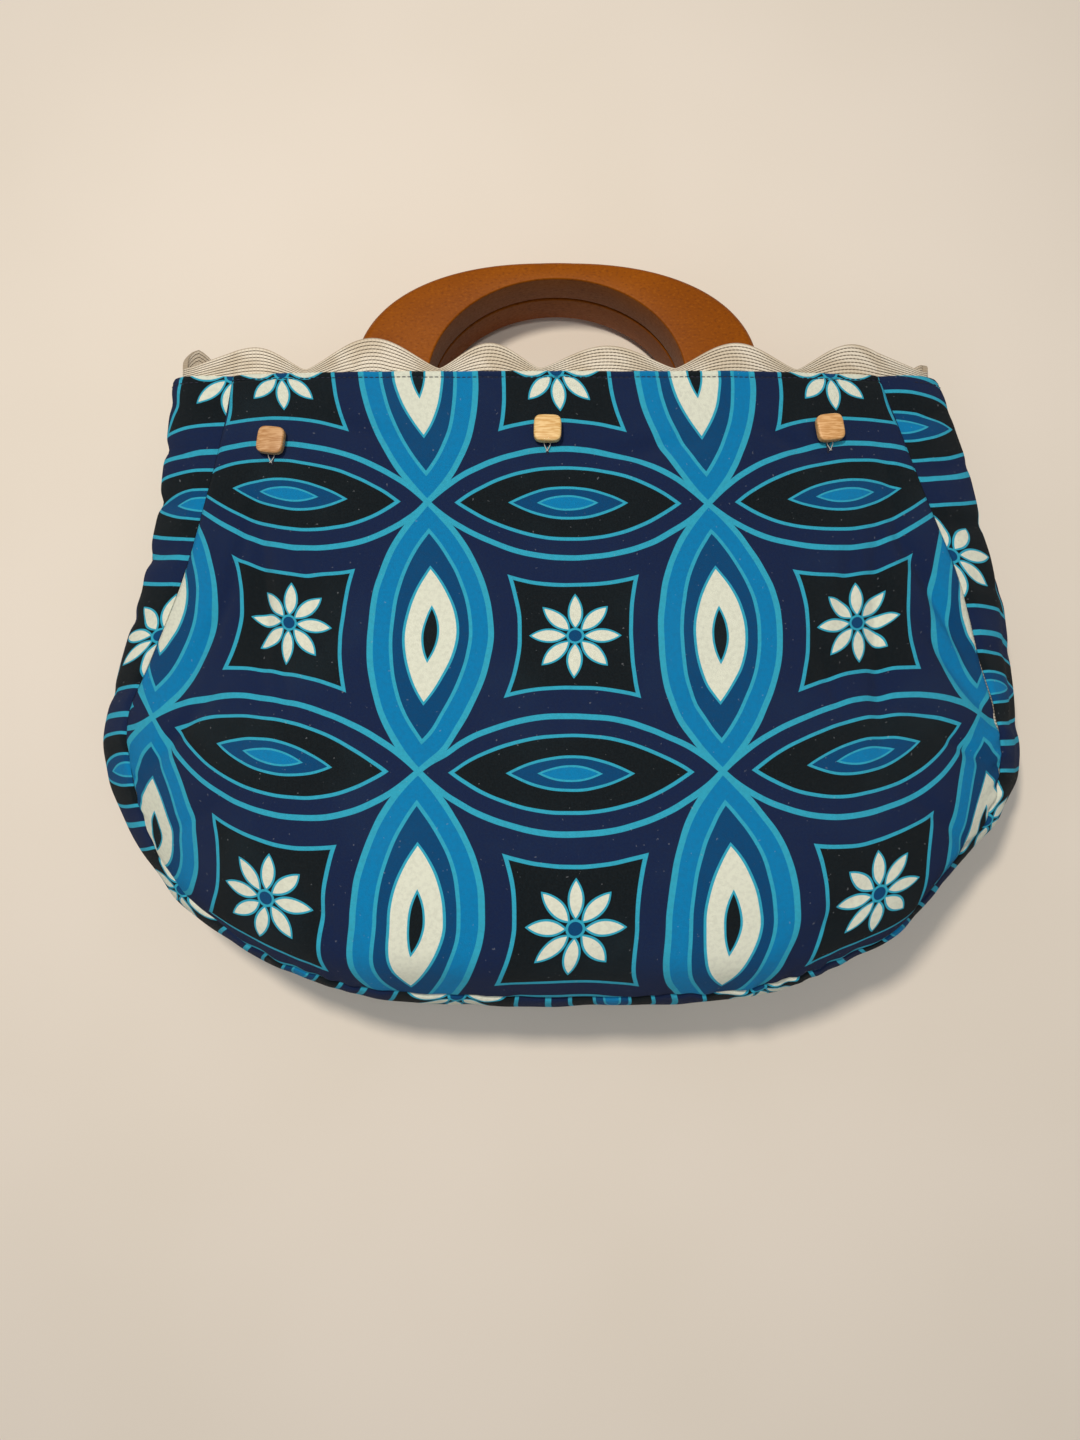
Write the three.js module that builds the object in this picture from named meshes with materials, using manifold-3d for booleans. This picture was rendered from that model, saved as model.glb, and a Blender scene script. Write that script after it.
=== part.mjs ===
import * as THREE from "three";
import { mergeVertices } from "three/addons/utils/BufferGeometryUtils.js";
import Module from "manifold-3d";

// A handbag lying on its back: a stiff inner bag of sewn braid with a scalloped rim and two wooden
// handles in its mouth, inside a printed cloth cover that is buttoned over it. Sizes are millimetres.
// X runs across the bag, Y from its bottom to its mouth, Z up from the back panel to the front one.

// Cloth cover
const bodyLength = 249; // bottom of the bag to the hem of the cover
const seamHalfWidth = 172; // centre line to the front seam where the bag is widest
const clothWall = 1.2;
const hemFall = 4.2; // how much lower the ends of the front hem lie than its middle
const bellyRise = 30; // front panel's middle over its seams where it is fullest
const bottomSeamHeight = 66; // front seam over the floor under the belly
const backSeamLift = 14; // back seam over the floor at the bottom of the bag
const bottomUndercut = 12; // back seam behind the front seam at the bottom
const gussetBulge = 29; // how far the gusset stands out past its seams at the hem
const sideLean = 3; // how far the sides sag across, out of line with the mouth
const foldDepth = 2; // soft creases of the front panel
const pleatDepth = 4.5; // pleats that run down the gusset
const seamSetBack = 0.3; // how far each panel's edge stands back from the seam line

// Inner bag
const braidWall = 2;
const coverEase = 0.8; // cover to inner bag
const scallopCount = 6;
const scallopPitch = 47;
const scallopCrest = 12.4; // rim over the hem at a crest
const scallopValley = 2; // and at a valley
const scallopShift = -3; // the row of scallops off the centre line
const scallopSteps = 8; // short lines along one scallop
const scallopFullness = 0.75; // below 1 the crests are rounder than the valleys
const sideCrest = 10; // rim over the hem at the sides

// Handles: heights are measured from the hem
const handleHalfWidth = 83.5;
const handleRise = 49.4;
const handleThickness = 17;
const handleGap = 1.2; // between the two handles
const handleEdge = 2; // eased edge, less where the wood is under three of these wide
const archHalfWidth = 53;
const archRise = 41.4;
const archFoot = -2; // level at which the arch turns into the straight legs
const legLength = 35;
const legShoulder = { outside: 0.6, inside: 0.7 }; // share of the leg's length above its taper
const legToe = 0.3; // how blunt the leg's end is, share of half its width
const handleSquareness = 2.3; // 2 would be an ellipse
const handleSteps = 28; // short lines along the arch
const fitGap = 0.3; // wood to braid, pin to hole, shank to its neighbours

// Pins that hold the legs to the inner bag
const pinDiameter = 5;
const pinDepth = 8; // into the leg
const pinFromEnd = 14; // above the end of the leg

// Buttons
const buttonWidth = 11;
const buttonThickness = 3.6;
const buttonCorner = 3.4;
const buttonEdge = 0.8;
const buttonLift = 1.6; // underside over the cloth
const shankDiameter = 2;
const slitLength = 13;
const slitBelow = 2.5; // the slit's middle below the button's middle

// The U-shaped front seam, from the hem at one side to the middle of the bottom, and the back seam.
// down: below the hem, share of bodyLength. half: out from the centre line, share of seamHalfWidth.
// height: 0 at the height of the hem's end, 1 at bottomSeamHeight. undercut: share of bottomUndercut.
// lift: share of backSeamLift. lean: share of sideLean, to the right.
const seamRows = [
  { down: 0.0, half: 0.77, height: 0.0, undercut: 0.0, lift: 0.1, lean: -0.2 },
  { down: 0.088, half: 0.803, height: 0.0, undercut: 0.0, lift: 0.14, lean: 0.6 },
  { down: 0.2, half: 0.849, height: 0.0, undercut: 0.0, lift: 0.2, lean: 1.2 },
  { down: 0.337, half: 0.909, height: 0.02, undercut: 0.0, lift: 0.28, lean: 1.8 },
  { down: 0.474, half: 0.964, height: 0.06, undercut: 0.03, lift: 0.36, lean: 1.0 },
  { down: 0.566, half: 1.0, height: 0.15, undercut: 0.06, lift: 0.44, lean: 0.6 },
  { down: 0.647, half: 0.988, height: 0.3, undercut: 0.15, lift: 0.52, lean: 1.0 },
  { down: 0.727, half: 0.942, height: 0.45, undercut: 0.3, lift: 0.62, lean: 0.8 },
  { down: 0.783, half: 0.878, height: 0.6, undercut: 0.5, lift: 0.72, lean: -0.2 },
  { down: 0.84, half: 0.805, height: 0.75, undercut: 0.7, lift: 0.82, lean: -0.4 },
  { down: 0.9, half: 0.703, height: 0.88, undercut: 0.85, lift: 0.9, lean: 0.3 },
  { down: 0.944, half: 0.573, height: 0.95, undercut: 0.94, lift: 0.96, lean: -0.3 },
  { down: 0.977, half: 0.407, height: 0.99, undercut: 1.0, lift: 1.0, lean: 0.0 },
  { down: 0.987, half: 0.203, height: 1.0, undercut: 1.0, lift: 1.0, lean: 0.6 },
  { down: 0.99, half: 0.0, height: 1.0, undercut: 1.0, lift: 1.0, lean: 0.8 },
];

// The gusset between the two seams, at the same places as the rows above.
// bulge and innerBulge: share of gussetBulge, of the cover and of the inner bag.
// high: where the gusset stands out most, share of its width from the front seam.
const gussetRows = [
  { bulge: 0.94, innerBulge: 0.86, high: 0.22 },
  { bulge: 0.94, innerBulge: 0.66, high: 0.27 },
  { bulge: 0.88, innerBulge: 0.58, high: 0.32 },
  { bulge: 0.8, innerBulge: 0.52, high: 0.38 },
  { bulge: 0.65, innerBulge: 0.45, high: 0.43 },
  { bulge: 0.5, innerBulge: 0.36, high: 0.47 },
  { bulge: 0.54, innerBulge: 0.38, high: 0.48 },
  { bulge: 0.47, innerBulge: 0.34, high: 0.48 },
  { bulge: 0.41, innerBulge: 0.3, high: 0.48 },
  { bulge: 0.4, innerBulge: 0.3, high: 0.48 },
  { bulge: 0.36, innerBulge: 0.27, high: 0.48 },
  { bulge: 0.34, innerBulge: 0.26, high: 0.48 },
  { bulge: 0.36, innerBulge: 0.25, high: 0.48 },
  { bulge: 0.35, innerBulge: 0.24, high: 0.48 },
  { bulge: 0.34, innerBulge: 0.24, high: 0.48 },
];

// The front panel's crown along its middle. along: 0 at the hem, 1 at the bottom seam.
// rise: share of bellyRise, on top of hemFall, which fades out down the panel.
// flatness: how flat the crown is across its middle.
const crownRows = [
  { along: 0.0, rise: 0.0, flatness: 4.0 },
  { along: 0.15, rise: 0.02, flatness: 3.8 },
  { along: 0.3, rise: 0.12, flatness: 3.2 },
  { along: 0.5, rise: 0.44, flatness: 2.6 },
  { along: 0.65, rise: 0.74, flatness: 2.4 },
  { along: 0.8, rise: 0.9, flatness: 2.4 },
  { along: 0.9, rise: 0.76, flatness: 2.6 },
  { along: 0.95, rise: 0.55, flatness: 2.8 },
  { along: 1.0, rise: 0.0, flatness: 3.0 },
];
const innerCrown = 0.82; // the inner bag's share of the belly's rise
const floorFlat = { across: 0.8, along: 0.84 }; // the back panel is flat on the floor inside these shares

// Soft creases of the front panel. across: share of seamHalfWidth. down, length and width: shares of
// bodyLength. turn: degrees from the bag's length. depth: share of foldDepth, below 0 for a ridge.
const frontFolds = [
  { across: -0.7, down: 0.38, length: 0.14, width: 0.045, turn: 4, depth: 1.0 },
  { across: -0.82, down: 0.5, length: 0.12, width: 0.05, turn: -30, depth: 0.8 },
  { across: 0.71, down: 0.42, length: 0.16, width: 0.045, turn: -3, depth: 1.0 },
  { across: 0.86, down: 0.36, length: 0.16, width: 0.05, turn: 24, depth: 0.8 },
  { across: -0.26, down: 0.6, length: 0.08, width: 0.07, turn: 20, depth: 0.5 },
  { across: 0.45, down: 0.24, length: 0.16, width: 0.07, turn: -62, depth: 0.4 },
];

// Pleats of the gusset. side: -1 left, 1 right. from and to: shares of the side's length below the hem.
// place: share of the gusset's width from the front seam. width: share of that width.
// depth: share of pleatDepth.
const gussetPleats = [
  { side: -1, from: -0.1, to: 0.62, place: 0.3, width: 0.13, depth: 1.0 },
  { side: -1, from: 0.0, to: 0.5, place: 0.66, width: 0.14, depth: 0.7 },
  { side: 1, from: -0.1, to: 0.42, place: 0.36, width: 0.13, depth: 0.9 },
  { side: 1, from: 0.28, to: 0.8, place: 0.24, width: 0.12, depth: 0.7 },
  { side: 1, from: 0.8, to: 1.3, place: 0.3, width: 0.15, depth: 0.6 },
];

// across: the button's middle from the centre line, share of seamHalfWidth. down: below the hem,
// share of bodyLength. turn: degrees, clockwise seen from above.
const buttonRows = [
  { name: "left", across: -0.666, down: 0.12, turn: 7 },
  { name: "middle", across: -0.023, down: 0.104, turn: 1 },
  { name: "right", across: 0.634, down: 0.1, turn: -8 },
];

const clothGrid = { across: 26, along: 14, wide: 6 };
const braidGrid = { across: 19, along: 10, wide: 4 };
const rowCrowding = 1.35; // above 1 the rows of a panel crowd towards the bottom seam
const cornerShare = 0.29; // share of the seam from the hem to the panel grid's corner
const gussetHeart = 0.62; // below this share of bodyLength the gusset bulges away from one point
const gussetFullness = 0.85; // below 1 the gusset is fuller than half a sine
const seamParts = 600; // parts in which the seam's length is measured
const mostMitre = 1.5; // a wall's mitred depth, in walls, is at most this

// What the named sizes give
const wallStack = clothWall + coverEase + braidWall + fitGap;
const hemHalfWidth = seamRows[0].half * seamHalfWidth;
const hemFallAtHandle = hemFall * (handleHalfWidth / hemHalfWidth) ** crownRows[0].flatness;
const mouthDepth = 2 * wallStack + 2 * handleThickness + handleGap + hemFallAtHandle;
const hemSeamHeight = mouthDepth - hemFall;
const legCentre = (archHalfWidth + handleHalfWidth) / 2;
const pinDown = legLength - pinFromEnd;
const slitWidth = shankDiameter + 2 * fitGap;
const backHandleZ = wallStack;
const frontHandleZ = backHandleZ + handleThickness + handleGap;
const aboveAll = 2 * (mouthDepth + bottomSeamHeight + bellyRise);
const buttons = buttonRows.map(({ name, across, down, turn }) => ({
  name,
  x: across * seamHalfWidth,
  y: bodyLength * (1 - down),
  turn,
}));

const wasm = await Module();
wasm.setup();

function solidOf(geometry) {
  const bare = geometry.clone();
  bare.deleteAttribute("normal");
  bare.deleteAttribute("uv");
  const merged = mergeVertices(bare, 1e-4);
  return new wasm.Manifold(
    new wasm.Mesh({
      numProp: 3,
      vertProperties: new Float32Array(merged.attributes.position.array),
      triVerts: new Uint32Array(merged.index.array),
    }),
  );
}

function geometryOf(solid) {
  const mesh = solid.getMesh();
  const geometry = new THREE.BufferGeometry();
  geometry.setAttribute("position", new THREE.BufferAttribute(mesh.vertProperties, 3));
  geometry.setIndex(new THREE.BufferAttribute(mesh.triVerts, 1));
  geometry.computeVertexNormals();
  return geometry;
}

// One column of a table at any value of another column, as a smooth curve through the rows.
function readTable(rows, by, column, at) {
  const last = rows.length - 1;
  let row = 0;
  while (row < last - 1 && at > rows[row + 1][by]) row += 1;
  const slope = (i) => {
    const before = rows[Math.max(i - 1, 0)];
    const after = rows[Math.min(i + 1, last)];
    return (after[column] - before[column]) / (after[by] - before[by]);
  };
  const step = rows[row + 1][by] - rows[row][by];
  const t = THREE.MathUtils.clamp((at - rows[row][by]) / step, 0, 1);
  const start = rows[row][column] * (1 + 2 * t) * (1 - t) ** 2;
  const end = rows[row + 1][column] * (3 - 2 * t) * t ** 2;
  return start + end + step * (slope(row) * t * (1 - t) ** 2 - slope(row + 1) * t ** 2 * (1 - t));
}

// The seam table as curves round the whole U: the seam itself, and two that carry its other columns.
function seamCurves() {
  const rows = seamRows.map((row, i) => ({ ...row, ...gussetRows[i] }));
  const mirrored = rows.slice(0, -1).reverse();
  const sides = [...rows.map((row) => [row, -1]), ...mirrored.map((row) => [row, 1])];
  const curve = (point) => new THREE.CatmullRomCurve3(sides.map(([row, side]) => point(row, side)));
  const front = curve((row, side) => {
    const height = THREE.MathUtils.lerp(hemSeamHeight, bottomSeamHeight, row.height);
    return new THREE.Vector3(side * row.half * seamHalfWidth, bodyLength * (1 - row.down), height);
  });
  front.arcLengthDivisions = seamParts;
  const bulges = curve((row) => new THREE.Vector3(row.bulge, row.innerBulge, row.high));
  const shifts = curve((row) => new THREE.Vector3(row.undercut, row.lift, row.lean));
  return { front, bulges, shifts };
}

const seam = seamCurves();

// Everything at one share of the seam's length, 0 at the left end of the hem and 1 at the right.
function seamAt(share) {
  const t = seam.front.getUtoTmapping(share);
  const front = seam.front.getPoint(t);
  const [bulge, innerBulge, high] = seam.bulges.getPoint(t).toArray();
  const [undercut, lift, lean] = seam.shifts.getPoint(t).toArray();
  const heart = new THREE.Vector3(0, bodyLength * (1 - gussetHeart), 0);
  const outward = new THREE.Vector3(front.x, Math.min(0, front.y - heart.y), 0).normalize();
  const back = front.clone().addScaledVector(outward, -undercut * bottomUndercut);
  back.z = lift * backSeamLift;
  front.x += lean * sideLean;
  back.x += lean * sideLean;
  return { front, back, outward, high, bulge: bulge * gussetBulge, innerBulge: innerBulge * gussetBulge };
}

// A panel point from the seam round it: across and along run from 0 to 1. edge picks the seam line.
function panelPoint(edge, across, along) {
  const left = edge(cornerShare * along);
  const right = edge(1 - cornerShare * along);
  const bottom = edge(cornerShare + across * (1 - 2 * cornerShare));
  const top = new THREE.Vector3().lerpVectors(edge(0), edge(1), across);
  const corner = new THREE.Vector3().lerpVectors(edge(cornerShare), edge(1 - cornerShare), across);
  const sides = new THREE.Vector3().lerpVectors(left, right, across);
  const ends = new THREE.Vector3().lerpVectors(top, bottom, along);
  return sides.add(ends).sub(top.lerp(corner, along));
}

// Depth of a crease at a place on the front panel.
function foldDepthAt(point) {
  let depth = 0;
  for (const fold of frontFolds) {
    const away = new THREE.Vector2(point.x, point.y);
    away.sub(new THREE.Vector2(fold.across * seamHalfWidth, bodyLength * (1 - fold.down)));
    away.rotateAround(new THREE.Vector2(), THREE.MathUtils.degToRad(-fold.turn));
    const offAxis = (away.x / (fold.width * bodyLength)) ** 2;
    const offMiddle = (away.y / (fold.length * bodyLength)) ** 2;
    depth += fold.depth * foldDepth * Math.exp(-offAxis - offMiddle);
  }
  return depth;
}

// Depth of the pleats at a share of the seam's length and of the gusset's width.
function pleatDepthAt(share, wide) {
  const side = share < 0.5 ? -1 : 1;
  const below = Math.min(share, 1 - share) / cornerShare;
  let depth = 0;
  for (const pleat of gussetPleats) {
    if (pleat.side !== side) continue;
    const middle = (pleat.from + pleat.to) / 2;
    const offEnd = ((below - middle) / (pleat.to - middle)) ** 4;
    const offAxis = ((wide - pleat.place) / pleat.width) ** 2;
    depth += pleat.depth * pleatDepth * Math.exp(-offAxis - offEnd);
  }
  return depth;
}

function frontPoint(across, along, inner) {
  const point = panelPoint((share) => seamAt(share).front, across, along);
  const rise = readTable(crownRows, "along", "rise", along) * bellyRise;
  const flatness = readTable(crownRows, "along", "flatness", along);
  const crown = hemFall * (1 - along) + (inner ? innerCrown * rise : rise);
  const cloth = inner ? 0 : foldDepthAt(point) * Math.sin(Math.PI * Math.min(0.5, 1 - along));
  const edge = 1 - Math.abs(2 * across - 1) ** flatness;
  point.z += edge * (crown - cloth);
  return point;
}

function backPoint(across, along) {
  const point = panelPoint((share) => seamAt(share).back, across, along);
  const fromSide = (Math.abs(2 * across - 1) - floorFlat.across) / (1 - floorFlat.across);
  const fromBottom = (along - floorFlat.along) / (1 - floorFlat.along);
  const lying = (1 - Math.max(0, fromSide) ** 2) * (1 - Math.max(0, fromBottom) ** 2);
  point.z *= 1 - lying;
  return point;
}

function gussetPoint(share, wide, inner) {
  const at = seamAt(share);
  const bow = Math.sin(Math.PI * wide ** (Math.log(0.5) / Math.log(at.high))) ** gussetFullness;
  const bulge = inner ? at.innerBulge : at.bulge;
  const pleat = inner ? 0 : pleatDepthAt(share, wide);
  const point = at.front.clone().lerp(at.back, wide);
  return point.addScaledVector(at.outward, bow * (bulge - pleat));
}

function gridOf(rows, columns, pointAt) {
  const line = (row) => Array.from({ length: columns + 1 }, (_, column) => pointAt(row, column));
  return Array.from({ length: rows + 1 }, (_, row) => line(row));
}

// The bag's outer skin as three grids whose edges meet: front panel, gusset and back panel.
// A rim above 0 adds a straight band above the hem.
function skinGrids({ across, along, wide }, inner, rim) {
  const alongAt = (row) => 1 - (1 - row / along) ** rowCrowding;
  const shareAt = (column) => {
    if (column <= along) return cornerShare * alongAt(column);
    if (column >= along + across) return 1 - cornerShare * alongAt(2 * along + across - column);
    return cornerShare + ((column - along) / across) * (1 - 2 * cornerShare);
  };
  const front = gridOf(along, across, (row, column) => frontPoint(column / across, alongAt(row), inner));
  const back = gridOf(along, across, (row, column) => backPoint(1 - column / across, alongAt(row)));
  const around = 2 * along + across;
  const gusset = gridOf(wide, around, (row, column) => gussetPoint(shareAt(column), row / wide, inner));
  if (rim > 0) {
    const raised = (point) => point.clone().setY(bodyLength + rim);
    front.unshift(front[0].map(raised));
    back.unshift(back[0].map(raised));
    for (const row of gusset) {
      row.unshift(raised(row[0]));
      row.push(raised(row.at(-1)));
    }
  }
  return { front, gusset, back };
}

// Joins the grids into one surface and finds, at each point, the way in and how far a step of 1 mm
// through the wall moves it, mitred where two panels meet.
function joinSkin(grids) {
  const corners = [];
  const owners = [];
  for (const [name, grid] of Object.entries(grids)) {
    for (let row = 0; row + 1 < grid.length; row += 1) {
      for (let column = 0; column + 1 < grid[row].length; column += 1) {
        const [a, b] = [grid[row][column], grid[row][column + 1]];
        const [c, d] = [grid[row + 1][column], grid[row + 1][column + 1]];
        corners.push(a, c, d, a, d, b);
        owners.push(name, name);
      }
    }
  }
  const merged = mergeVertices(new THREE.BufferGeometry().setFromPoints(corners), 1e-3);
  const places = merged.attributes.position;
  const pointAt = (_, i) => new THREE.Vector3().fromBufferAttribute(places, i);
  const points = Array.from({ length: places.count }, pointAt);
  const cornersOf = (i) => [0, 1, 2].map((k) => merged.index.getX(3 * i + k));
  const faces = owners.map((owner, i) => ({ owner, at: cornersOf(i) }));
  const normals = points.map(() => []);
  for (const face of faces) {
    const [a, b, c] = face.at.map((i) => points[i]);
    const normal = new THREE.Triangle(a, b, c).getNormal(new THREE.Vector3());
    [[a, b, c], [b, c, a], [c, a, b]].forEach(([here, next, other], k) => {
      const angle = next.clone().sub(here).angleTo(other.clone().sub(here));
      normals[face.at[k]].push({ normal, angle });
    });
  }
  const top = Math.max(...points.map((point) => point.y));
  const inward = points.map((point, i) => {
    const mean = new THREE.Vector3();
    normals[i].forEach(({ normal, angle }) => mean.addScaledVector(normal, -angle));
    if (top - point.y < 1e-3) mean.setY(0);
    mean.normalize();
    const total = normals[i].reduce((sum, { angle }) => sum + angle, 0);
    const facing = normals[i].reduce((sum, { normal, angle }) => sum - angle * normal.dot(mean), 0);
    return mean.multiplyScalar(Math.min(total / facing, mostMitre));
  });
  return { points, faces, inward };
}

// A wall between two depths under the skin, over the panels with the given names, with its edges
// standing back from the ends of those panels.
function wallOf(skin, names, outerDepth, innerDepth, setBackBy) {
  const faces = skin.faces.filter((face) => names.includes(face.owner)).map((face) => face.at);
  const edges = new Map();
  for (const [a, b, c] of faces) {
    edges.set(`${a} ${b}`, [a, b, c]);
    edges.set(`${b} ${c}`, [b, c, a]);
    edges.set(`${c} ${a}`, [c, a, b]);
  }
  const rim = [...edges.values()].filter(([from, to]) => !edges.has(`${to} ${from}`));
  const setBack = new Map(rim.map(([from]) => [from, new THREE.Vector3()]));
  for (const [from, to, third] of rim) {
    const along = skin.points[to].clone().sub(skin.points[from]).normalize();
    const into = skin.points[third].clone().sub(skin.points[from]);
    into.addScaledVector(along, -into.dot(along)).normalize();
    setBack.get(from).add(into);
    setBack.get(to).add(into);
  }
  setBack.forEach((move) => move.multiplyScalar((2 * setBackBy) / move.lengthSq()));
  const placed = (depth) => (i) => {
    const point = skin.points[i].clone().addScaledVector(skin.inward[i], depth);
    return setBack.has(i) ? point.add(setBack.get(i)) : point;
  };
  const outer = placed(outerDepth);
  const inner = placed(innerDepth);
  const corners = faces.flatMap(([a, b, c]) => [outer(a), outer(b), outer(c), inner(a), inner(c), inner(b)]);
  for (const [from, to] of rim) {
    corners.push(outer(from), inner(from), inner(to), outer(from), inner(to), outer(to));
  }
  return new THREE.BufferGeometry().setFromPoints(corners);
}

// The height of the skin's front over a place, at a depth under the surface, and the way out of it.
function surfaceAt(skin, x, y, depth) {
  const triangle = new THREE.Triangle();
  const ray = new THREE.Ray(new THREE.Vector3(x, y, aboveAll), new THREE.Vector3(0, 0, -1));
  for (const face of skin.faces) {
    if (face.owner !== "front") continue;
    const [a, b, c] = face.at.map((i) => skin.points[i].clone().addScaledVector(skin.inward[i], depth));
    const point = ray.intersectTriangle(a, b, c, true, new THREE.Vector3());
    if (point) return { point, normal: triangle.set(a, b, c).getNormal(new THREE.Vector3()) };
  }
  throw new Error("no front panel at this place");
}

// A round bar along Z from one level to another.
function bar(radius, x, y, from, to) {
  const geometry = new THREE.CylinderGeometry(radius, radius, to - from, 16);
  return geometry.rotateX(Math.PI / 2).translate(x, y, (from + to) / 2);
}

function extruded(shape, depth, from) {
  return new THREE.ExtrudeGeometry(shape, { depth, bevelEnabled: false }).translate(0, 0, from);
}

// Everything above the scalloped line of the rim.
function scallopCutter() {
  const frontEnd = (scallopCount * scallopPitch) / 2;
  const sideEnd = hemHalfWidth + gussetBulge;
  const height = (x) => {
    const past = Math.abs(x - scallopShift) - frontEnd;
    if (past > 0) {
      const climb = Math.sin((Math.PI / 2) * Math.min(1, past / (sideEnd - frontEnd) / 0.6));
      return scallopValley + (sideCrest - scallopValley) * climb;
    }
    const wave = 0.5 - 0.5 * Math.cos((2 * Math.PI * (x - scallopShift + frontEnd)) / scallopPitch);
    return scallopValley + (scallopCrest - scallopValley) * wave ** scallopFullness;
  };
  const steps = scallopSteps * scallopCount;
  const line = [new THREE.Vector2(-2 * sideEnd, bodyLength + sideCrest)];
  for (let i = -scallopSteps; i <= steps + scallopSteps; i += 1) {
    const x = scallopShift - frontEnd + (2 * frontEnd * i) / steps;
    line.push(new THREE.Vector2(x, bodyLength + height(x)));
  }
  line.push(new THREE.Vector2(2 * sideEnd, bodyLength + sideCrest));
  line.push(new THREE.Vector2(2 * sideEnd, bodyLength + 4 * scallopCrest));
  line.push(new THREE.Vector2(-2 * sideEnd, bodyLength + 4 * scallopCrest));
  return extruded(new THREE.Shape(line), 2 * aboveAll, -aboveAll);
}

// Both pins of a handle, grown by a gap when they cut their own holes.
function pinAt(side, from, to, gap) {
  return bar(pinDiameter / 2 + gap, side * legCentre, bodyLength - pinDown, from, to);
}

function handleGeometry(bottom, pinFrom, pinTo) {
  const power = 2 / handleSquareness;
  const edge = Math.min(handleEdge, (handleRise - archRise) / 3);
  const shape = new THREE.Shape();
  shape.moveTo(handleHalfWidth, 0);
  for (let i = 1; i <= handleSteps; i += 1) {
    const angle = (Math.PI * i) / handleSteps;
    const x = Math.sign(Math.cos(angle)) * Math.abs(Math.cos(angle)) ** power;
    shape.lineTo(handleHalfWidth * x, handleRise * Math.sin(angle) ** power);
  }
  const foot = -legLength;
  const [out, inn, mid] = [handleHalfWidth, archHalfWidth, legCentre];
  const toe = [out - legToe * (out - mid), inn + legToe * (mid - inn)];
  const shoulder = [legShoulder.outside * foot, legShoulder.inside * foot];
  shape.bezierCurveTo(-out, shoulder[0], -toe[0], foot, -mid, foot);
  shape.bezierCurveTo(-toe[1], foot, -inn, shoulder[1], -inn, archFoot);
  shape.absellipse(0, archFoot, inn, archRise - archFoot, Math.PI, 0, true);
  shape.bezierCurveTo(inn, shoulder[1], toe[1], foot, mid, foot);
  shape.bezierCurveTo(toe[0], foot, out, shoulder[0], out, 0);
  const geometry = new THREE.ExtrudeGeometry(shape, {
    depth: handleThickness - 2 * edge,
    bevelSize: edge,
    bevelThickness: edge,
    bevelOffset: -edge,
    bevelSegments: 2,
    curveSegments: 8,
  });
  geometry.translate(0, bodyLength, bottom + edge);
  let solid = solidOf(geometry);
  for (const side of [-1, 1]) solid = solid.subtract(solidOf(pinAt(side, pinFrom, pinTo, fitGap)));
  return geometryOf(solid);
}

// A buttonhole with pointed ends, cut through the front panel.
function slitCutter(button) {
  const [top, bottom] = [slitLength / 2 - slitBelow, -slitLength / 2 - slitBelow];
  const shape = new THREE.Shape();
  shape.moveTo(0, top);
  shape.quadraticCurveTo(-slitWidth, 0, 0, bottom);
  shape.quadraticCurveTo(slitWidth, 0, 0, top);
  return extruded(shape, aboveAll, 0).translate(button.x, button.y, 0);
}

function buttonGeometry() {
  const half = buttonWidth / 2;
  const straight = half - buttonCorner;
  const shape = new THREE.Shape();
  shape.absarc(straight, straight, buttonCorner, 0, Math.PI / 2);
  shape.absarc(-straight, straight, buttonCorner, Math.PI / 2, Math.PI);
  shape.absarc(-straight, -straight, buttonCorner, Math.PI, 1.5 * Math.PI);
  shape.absarc(straight, -straight, buttonCorner, 1.5 * Math.PI, 2 * Math.PI);
  return new THREE.ExtrudeGeometry(shape, {
    depth: buttonThickness - 2 * buttonEdge,
    bevelSize: buttonEdge,
    bevelThickness: buttonEdge,
    bevelOffset: -buttonEdge,
    bevelSegments: 1,
    curveSegments: 3,
  }).translate(0, 0, buttonEdge);
}

const printedCotton = { color: 0x23325a, roughness: 0.9, metalness: 0 };
const strawBraid = { color: 0xd8cdb8, roughness: 0.85, metalness: 0 };
const handleWood = { color: 0xb0601e, roughness: 0.4, metalness: 0 };
const paleWood = { color: 0xd9b98c, roughness: 0.5, metalness: 0 };
const cottonThread = { color: 0xc9c5bd, roughness: 0.9, metalness: 0 };

const bag = new THREE.Group();

function addPiece(name, geometry, look) {
  const mesh = new THREE.Mesh(geometry, new THREE.MeshStandardMaterial(look));
  mesh.name = name;
  bag.add(mesh);
  return mesh;
}

const coverSkin = joinSkin(skinGrids(clothGrid, false, 0));
const innerSkin = joinSkin(skinGrids(braidGrid, true, scallopCrest + 1));
const braidDepth = clothWall + coverEase;

// Where the pins end: flush with the outside of the inner bag
const frontPinTop = surfaceAt(innerSkin, legCentre, bodyLength - pinDown, braidDepth).point.z;
const pins = {
  back: { from: braidDepth, to: backHandleZ + pinDepth },
  front: { from: frontHandleZ + handleThickness - pinDepth, to: frontPinTop },
};

function addInnerBag() {
  const wall = wallOf(innerSkin, ["front", "gusset", "back"], braidDepth, braidDepth + braidWall, 0);
  let solid = solidOf(wall).subtract(solidOf(scallopCutter()));
  for (const side of [-1, 1]) {
    solid = solid.subtract(solidOf(pinAt(side, -braidWall, pins.back.to, fitGap)));
    solid = solid.subtract(solidOf(pinAt(side, pins.front.from, pins.front.to + braidWall, fitGap)));
  }
  addPiece("base_bag", geometryOf(solid), strawBraid);
}

function addCover() {
  let front = solidOf(wallOf(coverSkin, ["front"], 0, clothWall, seamSetBack));
  for (const button of buttons) front = front.subtract(solidOf(slitCutter(button)));
  addPiece("cover_front", geometryOf(front), printedCotton);
  addPiece("cover_gusset", wallOf(coverSkin, ["gusset"], 0, clothWall, seamSetBack), printedCotton);
  addPiece("cover_back", wallOf(coverSkin, ["back"], 0, clothWall, seamSetBack), printedCotton);
}

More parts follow.
